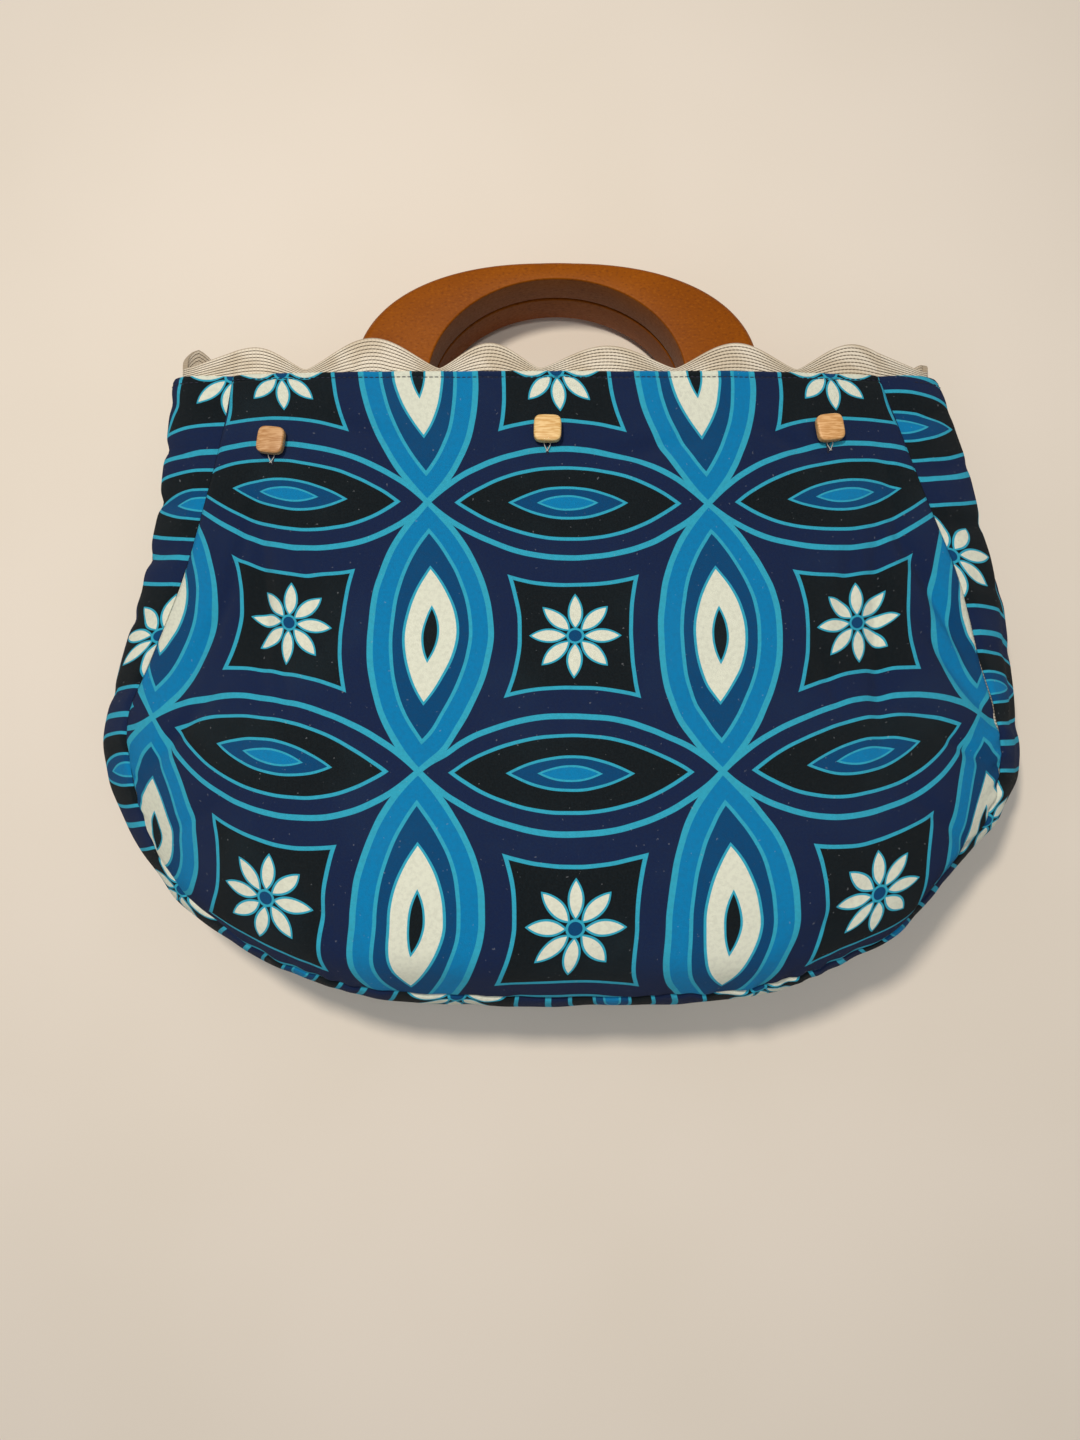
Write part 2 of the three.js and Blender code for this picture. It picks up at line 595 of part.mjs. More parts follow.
function addHandles() {
  const holes = { back: pins.back.to + fitGap, front: pins.front.from - fitGap };
  addPiece("handle_back", handleGeometry(backHandleZ, 0, holes.back), handleWood);
  addPiece("handle_front", handleGeometry(frontHandleZ, holes.front, 2 * mouthDepth), handleWood);
  for (const [place, { from, to }] of Object.entries(pins)) {
    addPiece(`handle_pin_${place}_left`, pinAt(-1, from, to, 0), handleWood);
    addPiece(`handle_pin_${place}_right`, pinAt(1, from, to, 0), handleWood);
  }
}

function addButtons() {
  const up = new THREE.Vector3(0, 0, 1);
  for (const button of buttons) {
    const cloth = surfaceAt(coverSkin, button.x, button.y, 0);
    const braid = surfaceAt(innerSkin, button.x, button.y, braidDepth);
    const mesh = addPiece(`button_${button.name}`, buttonGeometry(), paleWood);
    mesh.position.copy(cloth.point).addScaledVector(cloth.normal, buttonLift);
    mesh.quaternion.setFromUnitVectors(up, cloth.normal);
    mesh.rotateZ(THREE.MathUtils.degToRad(-button.turn));
    const from = braid.point.z + fitGap;
    const to = mesh.position.z - fitGap;
    const shank = bar(shankDiameter / 2, button.x, button.y, from, to);
    addPiece(`button_shank_${button.name}`, shank, cottonThread);
  }
}

addInnerBag();
addCover();
addHandles();
addButtons();

// The origin is under the middle of the bag, on the floor
const box = new THREE.Box3().setFromObject(bag, true);
const middle = box.getCenter(new THREE.Vector3());
bag.position.set(-middle.x, -middle.y, -box.min.z);

export default bag;
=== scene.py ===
import math

import bmesh
import bpy
import numpy as np
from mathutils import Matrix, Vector


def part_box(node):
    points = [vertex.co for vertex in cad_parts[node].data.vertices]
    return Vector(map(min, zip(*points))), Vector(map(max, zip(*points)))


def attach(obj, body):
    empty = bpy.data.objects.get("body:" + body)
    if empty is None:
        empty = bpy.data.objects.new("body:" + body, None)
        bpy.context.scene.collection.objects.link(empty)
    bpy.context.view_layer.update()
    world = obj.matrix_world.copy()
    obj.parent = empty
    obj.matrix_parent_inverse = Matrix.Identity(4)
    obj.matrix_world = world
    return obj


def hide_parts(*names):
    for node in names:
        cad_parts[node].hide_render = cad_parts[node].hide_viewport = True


# A fabric handbag lying on its back: a stiff inner bag of sewn braid with a scalloped rim and two
# wooden handles, in a printed cotton cover that three wooden buttons hold. Sizes of the bag are
# millimetres, as its maker would measure them, and a mesh gets its metres as it is made.
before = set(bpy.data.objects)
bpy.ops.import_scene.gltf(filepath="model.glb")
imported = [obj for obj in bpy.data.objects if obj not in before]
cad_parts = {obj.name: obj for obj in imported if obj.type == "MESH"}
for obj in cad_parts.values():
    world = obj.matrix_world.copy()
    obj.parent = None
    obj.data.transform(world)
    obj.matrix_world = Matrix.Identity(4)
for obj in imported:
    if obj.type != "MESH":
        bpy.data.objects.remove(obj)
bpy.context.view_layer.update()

# The view: the camera looks down on the bag from a little below its bottom, as the photograph
# does. Its place is in metres, and its tilt in degrees from straight down.
LENS = 26.5
CAMERA_PLACE = (-0.009, -0.0775, 0.460)
CAMERA_TILT = 5


def put_in_scene(name, data):
    """A new object of the scene, which shows the data."""
    made = bpy.data.objects.new(name, data)
    bpy.context.scene.collection.objects.link(made)
    return made


camera_data = bpy.data.cameras.new("camera")
camera_data.lens = LENS
camera = put_in_scene("camera", camera_data)
camera.location = CAMERA_PLACE
camera.rotation_euler = (math.radians(CAMERA_TILT), 0, 0)
bpy.context.scene.camera = camera

# The inner bag. Narrow braid is sewn round and round into a stiff bag with rounded bottom corners,
# and its last rows rise and fall into a scalloped rim. It gives the whole bag its form, so the
# seams that both layers share are worked out here.
BODY_LENGTH = 249
SEAM_HALF_WIDTH = 172
HEM_FALL = 4.2
BELLY_RISE = 30
BOTTOM_SEAM_HEIGHT = 66
BACK_SEAM_LIFT = 14
BOTTOM_UNDERCUT = 12
GUSSET_BULGE = 29
SIDE_LEAN = 3
CORNER_SHARE = 0.29
GUSSET_HEART = 0.62
GUSSET_FULLNESS = 0.85
INNER_CROWN = 0.82
FLAT_ACROSS = 0.8
FLAT_ALONG = 0.84
CLOTH_WALL = 1.2
COVER_EASE = 0.8
BRAID_WALL = 2
FIT_GAP = 0.3
HANDLE_THICKNESS = 17
HANDLE_GAP = 1.2
HANDLE_HALF_WIDTH = 83.5
HANDLE_RISE = 49.4

# down: below the hem, share of BODY_LENGTH. half: from the centre line, share of SEAM_HALF_WIDTH.
# height: 0 at the hem's height, 1 at BOTTOM_SEAM_HEIGHT. undercut, lift and lean: shares of
# BOTTOM_UNDERCUT, BACK_SEAM_LIFT and SIDE_LEAN. bulge and inner: shares of GUSSET_BULGE for the
# cover and the inner bag. high: where the gusset is fullest, share of its width.
SEAM_COLUMNS = ("down", "half", "height", "undercut", "lift", "lean", "bulge", "inner", "high")
SEAM_ROWS = (
    (0.0, 0.77, 0.0, 0.0, 0.1, -0.2, 0.94, 0.86, 0.22),
    (0.088, 0.803, 0.0, 0.0, 0.14, 0.6, 0.94, 0.66, 0.27),
    (0.2, 0.849, 0.0, 0.0, 0.2, 1.2, 0.88, 0.58, 0.32),
    (0.337, 0.909, 0.02, 0.0, 0.28, 1.8, 0.8, 0.52, 0.38),
    (0.474, 0.964, 0.06, 0.03, 0.36, 1.0, 0.65, 0.45, 0.43),
    (0.566, 1.0, 0.15, 0.06, 0.44, 0.6, 0.5, 0.36, 0.47),
    (0.647, 0.988, 0.3, 0.15, 0.52, 1.0, 0.54, 0.38, 0.48),
    (0.727, 0.942, 0.45, 0.3, 0.62, 0.8, 0.47, 0.34, 0.48),
    (0.783, 0.878, 0.6, 0.5, 0.72, -0.2, 0.41, 0.3, 0.48),
    (0.84, 0.805, 0.75, 0.7, 0.82, -0.4, 0.4, 0.3, 0.48),
    (0.9, 0.703, 0.88, 0.85, 0.9, 0.3, 0.36, 0.27, 0.48),
    (0.944, 0.573, 0.95, 0.94, 0.96, -0.3, 0.34, 0.26, 0.48),
    (0.977, 0.407, 0.99, 1.0, 1.0, 0.0, 0.36, 0.25, 0.48),
    (0.987, 0.203, 1.0, 1.0, 1.0, 0.6, 0.35, 0.24, 0.48),
    (0.99, 0.0, 1.0, 1.0, 1.0, 0.8, 0.34, 0.24, 0.48),
)

# The front panel's crown. along: 0 at the hem, 1 at the bottom seam. rise: share of BELLY_RISE.
# flatness: how flat the crown is across its middle.
CROWN_ROWS = (
    (0.0, 0.0, 4.0),
    (0.15, 0.02, 3.8),
    (0.3, 0.12, 3.2),
    (0.5, 0.44, 2.6),
    (0.65, 0.74, 2.4),
    (0.8, 0.9, 2.4),
    (0.9, 0.76, 2.6),
    (0.95, 0.55, 2.8),
    (1.0, 0.0, 3.0),
)

wall_stack = CLOTH_WALL + COVER_EASE + BRAID_WALL + FIT_GAP
hem_half_width = SEAM_ROWS[0][1] * SEAM_HALF_WIDTH
hem_fall_at_handle = HEM_FALL * (HANDLE_HALF_WIDTH / hem_half_width) ** CROWN_ROWS[0][2]
mouth_depth = 2 * wall_stack + 2 * HANDLE_THICKNESS + HANDLE_GAP + hem_fall_at_handle

# The bag's own zero lies on its centre line, at its bottom and on the floor of its back panel
handle_low, handle_high = (Vector(corner) * 1000 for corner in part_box("handle_front"))
ZERO = np.array([
    (handle_low.x + handle_high.x) / 2,
    handle_high.y - BODY_LENGTH - HANDLE_RISE,
    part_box("handle_back")[0].z * 1000 - wall_stack,
])


def curve_through(points, steps=80):
    """A smooth curve through the points, with the same number of steps between each two."""
    ends = np.vstack([2 * points[0] - points[1], points, 2 * points[-1] - points[-2]])
    gaps = np.sqrt(np.linalg.norm(np.diff(ends, axis=0), axis=1))[:, None]
    before, start, end, after = ends[:-3], ends[1:-2], ends[2:-1], ends[3:]
    gap_before, gap, gap_after = gaps[:-2], gaps[1:-1], gaps[2:]
    leave = (start - before) / gap_before - (end - before) / (gap_before + gap) + (end - start) / gap
    reach = (end - start) / gap - (after - start) / (gap + gap_after) + (after - end) / gap_after
    leave, reach = leave * gap, reach * gap
    t = np.linspace(0, 1, steps, endpoint=False)[None, :, None]
    start, end, leave, reach = (values[:, None, :] for values in (start, end, leave, reach))
    bend = (2 * start - 2 * end + leave + reach) * t**3
    bend += (3 * end - 3 * start - 2 * leave - reach) * t**2
    line = start + leave * t + bend
    return np.vstack([line.reshape(-1, points.shape[1]), points[-1:]])


half_table = np.array(SEAM_ROWS)
table = dict(zip(SEAM_COLUMNS, np.vstack([half_table, half_table[-2::-1]]).T))
side_of = np.array([-1.0] * len(SEAM_ROWS) + [1.0] * (len(SEAM_ROWS) - 1))
hem_seam_height = mouth_depth - HEM_FALL
seam_heights = hem_seam_height + table["height"] * (BOTTOM_SEAM_HEIGHT - hem_seam_height)
seam_places = (side_of * table["half"] * SEAM_HALF_WIDTH, BODY_LENGTH * (1 - table["down"]), seam_heights)
seam_front = curve_through(np.stack(seam_places, axis=1))
bulge_line = curve_through(np.stack([table[name] for name in ("bulge", "inner", "high")], axis=1))
shift_line = curve_through(np.stack([table[name] for name in ("undercut", "lift", "lean")], axis=1))

seam_steps = np.linalg.norm(np.diff(seam_front, axis=0), axis=1)
seam_length = seam_steps.sum()
seam_share = np.concatenate([[0.0], np.cumsum(seam_steps)]) / seam_length
seam_outward = seam_front - [0, BODY_LENGTH * (1 - GUSSET_HEART), 0]
seam_outward[:, 1] = np.minimum(0, seam_outward[:, 1])
seam_outward[:, 2] = 0
seam_outward /= np.linalg.norm(seam_outward, axis=1)[:, None]
seam_back = seam_front - seam_outward * shift_line[:, :1] * BOTTOM_UNDERCUT
seam_back[:, 2] = shift_line[:, 1] * BACK_SEAM_LIFT
seam_front[:, 0] += shift_line[:, 2] * SIDE_LEAN
seam_back[:, 0] += shift_line[:, 2] * SIDE_LEAN


def along_seam(share, line):
    """A line of the seam at shares of its length, 0 at the left end of the hem and 1 at the right."""
    return np.stack([np.interp(share, seam_share, column) for column in line.T], axis=-1)


def panel_point(line, across, along):
    """A place on a panel inside a seam line: across from left to right, along from the hem down."""
    across, along = np.broadcast_arrays(across, along)
    right = across[..., None]
    left_edge = along_seam(CORNER_SHARE * along, line)
    right_edge = along_seam(1 - CORNER_SHARE * along, line)
    bottom = along_seam(CORNER_SHARE + across * (1 - 2 * CORNER_SHARE), line)
    corners = along_seam(CORNER_SHARE, line) * (1 - right) + along_seam(1 - CORNER_SHARE, line) * right
    return left_edge * (1 - right) + right_edge * right + (bottom - corners) * along[..., None]


def read_table(rows, column, at):
    """A column of a table at any value of its first column, as a smooth curve through the rows."""
    places = np.array([row[0] for row in rows])
    values = np.array([row[column] for row in rows])
    slopes = np.empty_like(values)
    slopes[1:-1] = (values[2:] - values[:-2]) / (places[2:] - places[:-2])
    slopes[[0, -1]] = (values[[1, -1]] - values[[0, -2]]) / (places[[1, -1]] - places[[0, -2]])
    row = np.clip(np.searchsorted(places, at, side="right") - 1, 0, len(places) - 2)
    step = places[row + 1] - places[row]
    t = np.clip((at - places[row]) / step, 0, 1)
    start = values[row] * (1 + 2 * t) * (1 - t) ** 2 + step * slopes[row] * t * (1 - t) ** 2
    return start + values[row + 1] * (3 - 2 * t) * t**2 - step * slopes[row + 1] * t**2 * (1 - t)


# The front's broad folds and its creases, which both layers share. A crease has its full depth
# from CREASE_START below the hem on.
# across and down: the fold's middle, shares of SEAM_HALF_WIDTH and BODY_LENGTH. length and width:
# shares of BODY_LENGTH. turn: degrees from the bag's length. depth: share of FOLD_DEPTH.
FRONT_FOLDS = (
    (-0.7, 0.38, 0.14, 0.04, 4, 1.0),
    (-0.82, 0.5, 0.12, 0.045, -30, 0.8),
    (0.71, 0.42, 0.16, 0.04, -3, 1.0),
    (0.86, 0.36, 0.16, 0.045, 24, 0.8),
    (-0.26, 0.6, 0.08, 0.07, 20, 0.5),
    (0.45, 0.24, 0.16, 0.07, -62, 0.4),
)
CREASES = (
    (-0.74, 0.3, 0.08, 0.012, -14, 0.5),
    (-0.58, 0.34, 0.06, 0.012, 30, 0.35),
    (-0.72, 0.56, 0.06, 0.012, 78, 0.35),
    (0.6, 0.5, 0.07, 0.012, 14, 0.4),
    (0.8, 0.56, 0.06, 0.012, 70, 0.4),
    (0.79, 0.22, 0.08, 0.012, 8, 0.45),
    (-0.68, 0.38, 0.13, 0.014, 5, 0.8),
    (-0.62, 0.5, 0.09, 0.013, 12, 0.45),
    (-0.8, 0.44, 0.1, 0.014, -24, 0.6),
    (-0.86, 0.6, 0.09, 0.014, -38, 0.55),
    (-0.78, 0.72, 0.07, 0.014, -62, 0.4),
    (0.73, 0.43, 0.17, 0.014, -4, 0.9),
    (0.66, 0.36, 0.08, 0.013, -12, 0.4),
    (0.88, 0.38, 0.13, 0.013, 27, 0.8),
    (0.92, 0.5, 0.1, 0.013, 38, 0.65),
    (0.92, 0.62, 0.06, 0.012, 60, 0.6),
    (0.82, 0.72, 0.08, 0.014, 48, 0.45),
    (-0.45, 0.1, 0.09, 0.016, 75, 0.5),
    (0.22, 0.13, 0.1, 0.016, -80, 0.5),
    (0.55, 0.12, 0.06, 0.014, 60, 0.45),
    (-0.25, 0.62, 0.05, 0.02, 25, 0.5),
    (0.3, 0.55, 0.06, 0.018, -35, 0.35),
    (-0.5, 0.86, 0.07, 0.016, 40, 0.45),
    (0.55, 0.88, 0.08, 0.016, -50, 0.5),
)
FOLD_DEPTH = 3.8
CREASE_START = 20


def fold_depth(point, folds):
    """How deep the folds sink at places on the front panel."""
    depth = np.zeros(point.shape[:-1])
    for across_share, down, length, width, turn, share in folds:
        x = point[..., 0] - across_share * SEAM_HALF_WIDTH
        y = point[..., 1] - BODY_LENGTH * (1 - down)
        c, s = math.cos(math.radians(turn)), math.sin(math.radians(turn))
        off_axis = (x * c + y * s) / (width * BODY_LENGTH)
        off_middle = (-x * s + y * c) / (length * BODY_LENGTH)
        depth += share * FOLD_DEPTH * np.exp(-(off_axis**2) - off_middle**2)
    return depth


def front_point(across, along, crown=1.0):
    """The front panel, with its share of the belly's rise and the folds that sink into it."""
    point = panel_point(seam_front, across, along)
    rise = crown * BELLY_RISE * read_table(CROWN_ROWS, 1, along)
    edge = 1 - np.abs(2 * across - 1) ** read_table(CROWN_ROWS, 2, along)
    sunk = fold_depth(point, FRONT_FOLDS) * np.sin(np.pi * np.minimum(0.5, 1 - along))
    point[..., 2] += edge * (HEM_FALL * (1 - along) + rise - sunk)
    return point


def back_point(across, along):
    """The back panel, flat on the floor but for its sides and bottom."""
    point = panel_point(seam_back, across, along)
    from_side = np.maximum(0, (np.abs(2 * across - 1) - FLAT_ACROSS) / (1 - FLAT_ACROSS))
    from_bottom = np.maximum(0, (along - FLAT_ALONG) / (1 - FLAT_ALONG))
    point[..., 2] *= 1 - (1 - from_side**2) * (1 - from_bottom**2)
    return point


def gusset_point(share, wide, inner, pleat_depth=None):
    """The gusset between the two seams: wide is 0 at the front seam and 1 at the back seam."""
    share, wide = np.broadcast_arrays(share, wide)
    bulges = along_seam(share, bulge_line)
    bow = np.sin(np.pi * wide ** (np.log(0.5) / np.log(bulges[..., 2]))) ** GUSSET_FULLNESS
    out = bulges[..., 1 if inner else 0] * GUSSET_BULGE
    sunk = 0 if pleat_depth is None else pleat_depth(share, wide)
    front, back = along_seam(share, seam_front), along_seam(share, seam_back)
    across = wide[..., None]
    bulge = along_seam(share, seam_outward) * (bow * (out - sunk))[..., None]
    return front * (1 - across) + back * across + bulge


def ways_out(points):
    """The way out of a grid of points at each of them, one millimetre long."""
    normals = np.cross(np.gradient(points, axis=0), np.gradient(points, axis=1))
    return normals / np.maximum(np.linalg.norm(normals, axis=-1, keepdims=True), 1e-9)


def read_all(items, name, width=1, kind=float):
    """One property of all vertices or corners, in rows where it is more than one number wide."""
    values = np.empty(len(items) * width, kind)
    items.foreach_get(name, values)
    return values if width == 1 else values.reshape(-1, width)


WELD_GAP = 0.02
SHARP_TURN = 60


def new_piece(name, places, faces, flat, weld=True):
    """A piece from places and flat places of its vertices, in millimetres, and its faces."""
    mesh = bpy.data.meshes.new(name)
    mesh.from_pydata(((places + ZERO) / 1000).tolist(), [], faces)
    loops = read_all(mesh.loops, "vertex_index", kind=int)
    flat_loops = (flat[loops] / 1000).astype(np.float32)
    mesh.uv_layers.new(name="flat").data.foreach_set("uv", flat_loops.ravel())
    if weld:
        joined = bmesh.new()
        joined.from_mesh(mesh)
        bmesh.ops.remove_doubles(joined, verts=joined.verts, dist=WELD_GAP / 1000)
        joined.to_mesh(mesh)
        joined.free()
    mesh.shade_smooth()
    return put_in_scene(name, mesh)


def sewn(name, grids):
    """A piece from grids, each of places and flat places, joined where their edges meet."""
    places, flat, faces, count = [], [], [], 0
    for points, uv in grids:
        rows, columns = points.shape[:2]
        index = count + np.arange(rows * columns).reshape(rows, columns)
        corners = (index[:-1, :-1], index[1:, :-1], index[1:, 1:], index[:-1, 1:])
        faces.extend(np.stack(corners, axis=-1).reshape(-1, 4).tolist())
        places.append(points.reshape(-1, 3))
        flat.append(uv.reshape(-1, 2))
        count += rows * columns
    return new_piece(name, np.vstack(places), faces, np.vstack(flat))


def give_wall(piece, thickness, skin=0, relief=None):
    """Makes a surface a wall: its outside lies skin deep, and deeper by relief of its flat places."""
    mesh = piece.data
    count = len(mesh.vertices)
    places = read_all(mesh.vertices, "co", 3) * 1000 - ZERO
    normals = read_all(mesh.vertex_normals, "vector", 3)
    loop_flat = read_all(mesh.uv_layers["flat"].data, "uv", 2)
    flat = np.empty((count, 2))
    flat[read_all(mesh.loops, "vertex_index", kind=int)] = loop_flat * 1000
    depth = skin + (0 if relief is None else relief(flat))
    outside = places - normals * np.broadcast_to(depth, count)[:, None]
    inside = places - normals * (skin + thickness)
    outer_faces = [tuple(face.vertices) for face in mesh.polygons]
    sides = {(a, b) for face in outer_faces for a, b in zip(face, face[1:] + face[:1])}
    edges = [(a, b) for a, b in sorted(sides) if (b, a) not in sides]
    faces = outer_faces + [tuple(count + i for i in reversed(face)) for face in outer_faces]
    faces += [(b, a, a + count, b + count) for a, b in edges]
    name = piece.name
    bpy.data.objects.remove(piece)
    bpy.data.meshes.remove(mesh)
    walled = new_piece(name, np.vstack([outside, inside]), faces, np.vstack([flat, flat]), weld=False)

    # The outside faces get their own flat places again, so that a print breaks off at a seam
    layer = walled.data.uv_layers["flat"].data
    flat_loops = read_all(layer, "uv", 2)
    flat_loops[: len(loop_flat)] = loop_flat
    layer.foreach_set("uv", flat_loops.ravel())
    walled.data.set_sharp_from_angle(angle=math.radians(SHARP_TURN))
    return walled


def feed(tree, socket, value):
    """Links an input to the socket that the value is, or else sets it to the value."""
    if isinstance(value, bpy.types.NodeSocket):
        tree.links.new(value, socket)
    else:
        socket.default_value = value


def add_node(tree, kind, *values, inputs=(), **settings):
    """A node with its settings, its first inputs from values, and others from pairs by name."""
    made = tree.nodes.new(kind)
    for name, value in settings.items():
        setattr(made, name, value)
    for socket, value in zip(made.inputs, values):
        feed(tree, socket, value)
    for name, value in inputs:
        feed(tree, made.inputs[name], value)
    return made


def maths(tree, operation, *values):
    """The result of one operation on values."""
    return add_node(tree, "ShaderNodeMath", *values, operation=operation).outputs[0]


def times(tree, *values):
    """The product of values."""
    product = values[0]
    for value in values[1:]:
        product = maths(tree, "MULTIPLY", product, value)
    return product


def off_middle(tree, value):
    """How far a value is from the middle of its whole step: 0 there, and 0.5 at both ends."""
    return maths(tree, "ABSOLUTE", maths(tree, "SUBTRACT", maths(tree, "FRACT", value), 0.5))


def noise(tree, place, scale, detail=2, flat=False):
    """Noise from 0 to 1, its waves finer with a greater scale."""
    waves = (("Scale", scale), ("Detail", detail))
    kind = "2D" if flat else "3D"
    return add_node(tree, "ShaderNodeTexNoise", place, inputs=waves, noise_dimensions=kind).outputs[0]


def between(tree, value, low, high, to_low=0.0, to_high=1.0):
    """A value's place from low to high, smoothly, as a value from to_low to to_high."""
    settings = dict(interpolation_type="SMOOTHSTEP")
    return add_node(tree, "ShaderNodeMapRange", value, low, high, to_low, to_high, **settings).outputs[0]


def mix(tree, share, under, over):
    """Two colours mixed by a share: all under at 0, and all over at 1."""
    made = add_node(tree, "ShaderNodeMix", share, data_type="RGBA")
    feed(tree, made.inputs[6], under)
    feed(tree, made.inputs[7], over)
    return made.outputs[2]


def painted(tree, colour, *coats):
    """A colour under coats of others, each with its share."""
    for share, coat in coats:
        colour = mix(tree, share, colour, coat)
    return colour


def colours(*tones):
    """Colours as they are seen, such as d8cdb8, as the linear numbers that a node takes."""
    made = []
    for tone in tones:
        levels = [int(tone[i : i + 2], 16) / 255 for i in (0, 2, 4)]
        linear = [v / 12.92 if v < 0.04045 else ((v + 0.055) / 1.055) ** 2.4 for v in levels]
        made.append((*linear, 1))
    return made


def new_material(name, flat=False):
    """A material, its tree, its shader, and the place on the piece or on the piece laid flat."""
    material = bpy.data.materials.new(name)
    material.use_nodes = True
    tree = material.node_tree
    if flat:
        place = add_node(tree, "ShaderNodeUVMap", uv_map="flat").outputs[0]
    else:
        place = add_node(tree, "ShaderNodeTexCoord").outputs["Object"]
    return material, tree, tree.nodes["Principled BSDF"], place


def finish_material(tree, shader, colour, roughness, height=None, depth=0.0001, **constants):
    """Links the colour, roughness and height, and sets the shader's other sockets by their names."""
    feed(tree, shader.inputs["Base Color"], colour)
    feed(tree, shader.inputs["Roughness"], roughness)
    if height is not None:
        bump = add_node(tree, "ShaderNodeBump", inputs=(("Distance", depth), ("Height", height)))
        feed(tree, shader.inputs["Normal"], bump.outputs[0])
    for name, value in constants.items():
        shader.inputs[name.replace("_", " ")].default_value = value


def stand_for(piece, node, material):
    """Gives a piece its material, hangs it on the bag's root body, and hides the solid that it stands for."""
    piece.data.materials.append(material)
    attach(piece, "root")
    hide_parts(node)


# The scalloped rim: the braid's last rows lie parallel to its edge and flatten out below it. Sewing
# has drawn it uneven, so the crests differ, and on both sides of the bag it stands up in a curl.
SCALLOPS = 6
SCALLOP_PITCH = 47
SCALLOP_CREST = 12.4
SCALLOP_VALLEY = 2
SCALLOP_SHIFT = -3
SCALLOP_FULLNESS = 0.62
SIDE_CREST = 10
SIDE_REACH = 0.6
RIM_WAVE = 1.4
RIM_ROWS = 12
RIM_STEPS = 5
BRAID_ROW = 1.45
BRAID_RELIEF = 0.22
ROW_ROUNDNESS = 0.7
TIGHTEST_ROW = 0.42
STITCH_PITCH = 1.6
SKIN_DEPTH = CLOTH_WALL + COVER_EASE
PANEL_LENGTH = 246
INNER_COLUMNS = 190
INNER_WIDE = 22
BODY_ROWS = 26

# How far each valley lies to the right of the even pitch, and each crest's share of the full height
VALLEY_SHIFTS = (-2, -6, 2, -4, 4, 7, 7)
CREST_SHARES = (0.9, 1.12, 0.94, 0.84, 0.95, 1.0)

# Left and right. The outer crests are drawn out on to the gusset, falling over a length to a foot,
# and end at a share of its width. The curl has a height, and shares of the width where it stands.
FLANK_LENGTHS = (38, 32)
FLANK_FEET = (5.0, 3.5)
FLANK_ENDS = (0.45, 0.8)
SIDE_CURL = (6.8, 4.6)
CURL_STARTS = (0.16, 0.13)
CURL_ENDS = (0.82, 0.52)
CURL_FULLNESS = 0.7


def rim_height(x, flank=0.0):
    """How far the rim stands over the hem at x. flank is how far the outer crests are drawn out."""
    end = SCALLOPS * SCALLOP_PITCH / 2
    past = np.abs(x - SCALLOP_SHIFT) - end
    reach = (hem_half_width + GUSSET_BULGE - end) * SIDE_REACH
    climb = np.sin(np.pi / 2 * np.clip(past / reach, 0, 1))
    on_side = SCALLOP_VALLEY + (SIDE_CREST - SCALLOP_VALLEY) * climb
    valleys = SCALLOP_SHIFT - end + SCALLOP_PITCH * np.arange(SCALLOPS + 1) + VALLEY_SHIFTS
    phase = np.interp(x, valleys, np.arange(SCALLOPS + 1))
    wave = 0.5 - 0.5 * np.cos(2 * np.pi * phase)
    crests = np.array(CREST_SHARES) * (SCALLOP_CREST - SCALLOP_VALLEY)
    nearest = np.clip(np.floor(phase), 0, SCALLOPS - 1).astype(int)
    crest = SCALLOP_VALLEY + crests[nearest] * wave**SCALLOP_FULLNESS
    height = np.where(past > 0, on_side, crest)
    outer_crests = ((valleys[0] + valleys[1]) / 2, (valleys[-2] + valleys[-1]) / 2)
    for side, middle, length, foot in zip((-1, 1), outer_crests, FLANK_LENGTHS, FLANK_FEET):
        out = side * (x - middle) / length
        drawn = 0.5 + 0.5 * np.cos(np.pi * np.clip(out, 0, 1))
        drawn = np.maximum(foot, SCALLOP_VALLEY + crests[nearest] * drawn)
        height = np.where(out > 0, height + flank * (drawn - height), height)
    return height


def rim_and_body(height):
    """The inner bag's rows under a rim of those heights: how far below the hem, and in braid rows."""
    full = np.clip((height - SCALLOP_VALLEY) / (SCALLOP_CREST - SCALLOP_VALLEY), 0, 1)
    row_height = BRAID_ROW * (TIGHTEST_ROW + (1 - TIGHTEST_ROW) * full)
    rows = np.arange(RIM_ROWS * RIM_STEPS + 1)[:, None] / RIM_STEPS
    rim = rows * row_height - height
    body = np.linspace(0, 1, BODY_ROWS + 1)[1:, None] * (PANEL_LENGTH - rim[-1])
    below = np.vstack([rim, rim[-1] + body])
    flat = np.vstack([rows * BRAID_ROW + 0 * rim, rows[-1] * BRAID_ROW + body])
    return below, flat


def raise_rim(points, below, height):
    """Points over the hem stand up from it, each crest a little nearer to the viewer than a valley."""
    over = np.maximum(0, -below)
    points[..., 1] += over
    points[..., 2] += RIM_WAVE * over / SCALLOP_CREST * (2 * height / SCALLOP_CREST - 1)
    return points


def distances(points, axis=1):
    """How far each point of a grid lies from the first of its row, or with axis 0 of its column."""
    steps = np.diff(points, axis=axis, prepend=points.take([0], axis=axis))
    return np.cumsum(np.linalg.norm(steps, axis=2), axis=axis)


# The inner bag's front, its back, and its gusset from one end of the mouth round to the other
across = np.linspace(0, 1, INNER_COLUMNS + 1)
wide = np.linspace(0, 1, INNER_WIDE + 1)
height = rim_height(front_point(across, 0 * across)[:, 0], flank=1.0)
below, flat = rim_and_body(height)
along = np.maximum(0, below) / PANEL_LENGTH
points = raise_rim(front_point(across, along, crown=INNER_CROWN), below, height)
points[..., 2] -= fold_depth(points, CREASES) * np.clip(below / CREASE_START, 0, 1)
inner_grids = [(points, np.stack([distances(points), flat], axis=-1))]

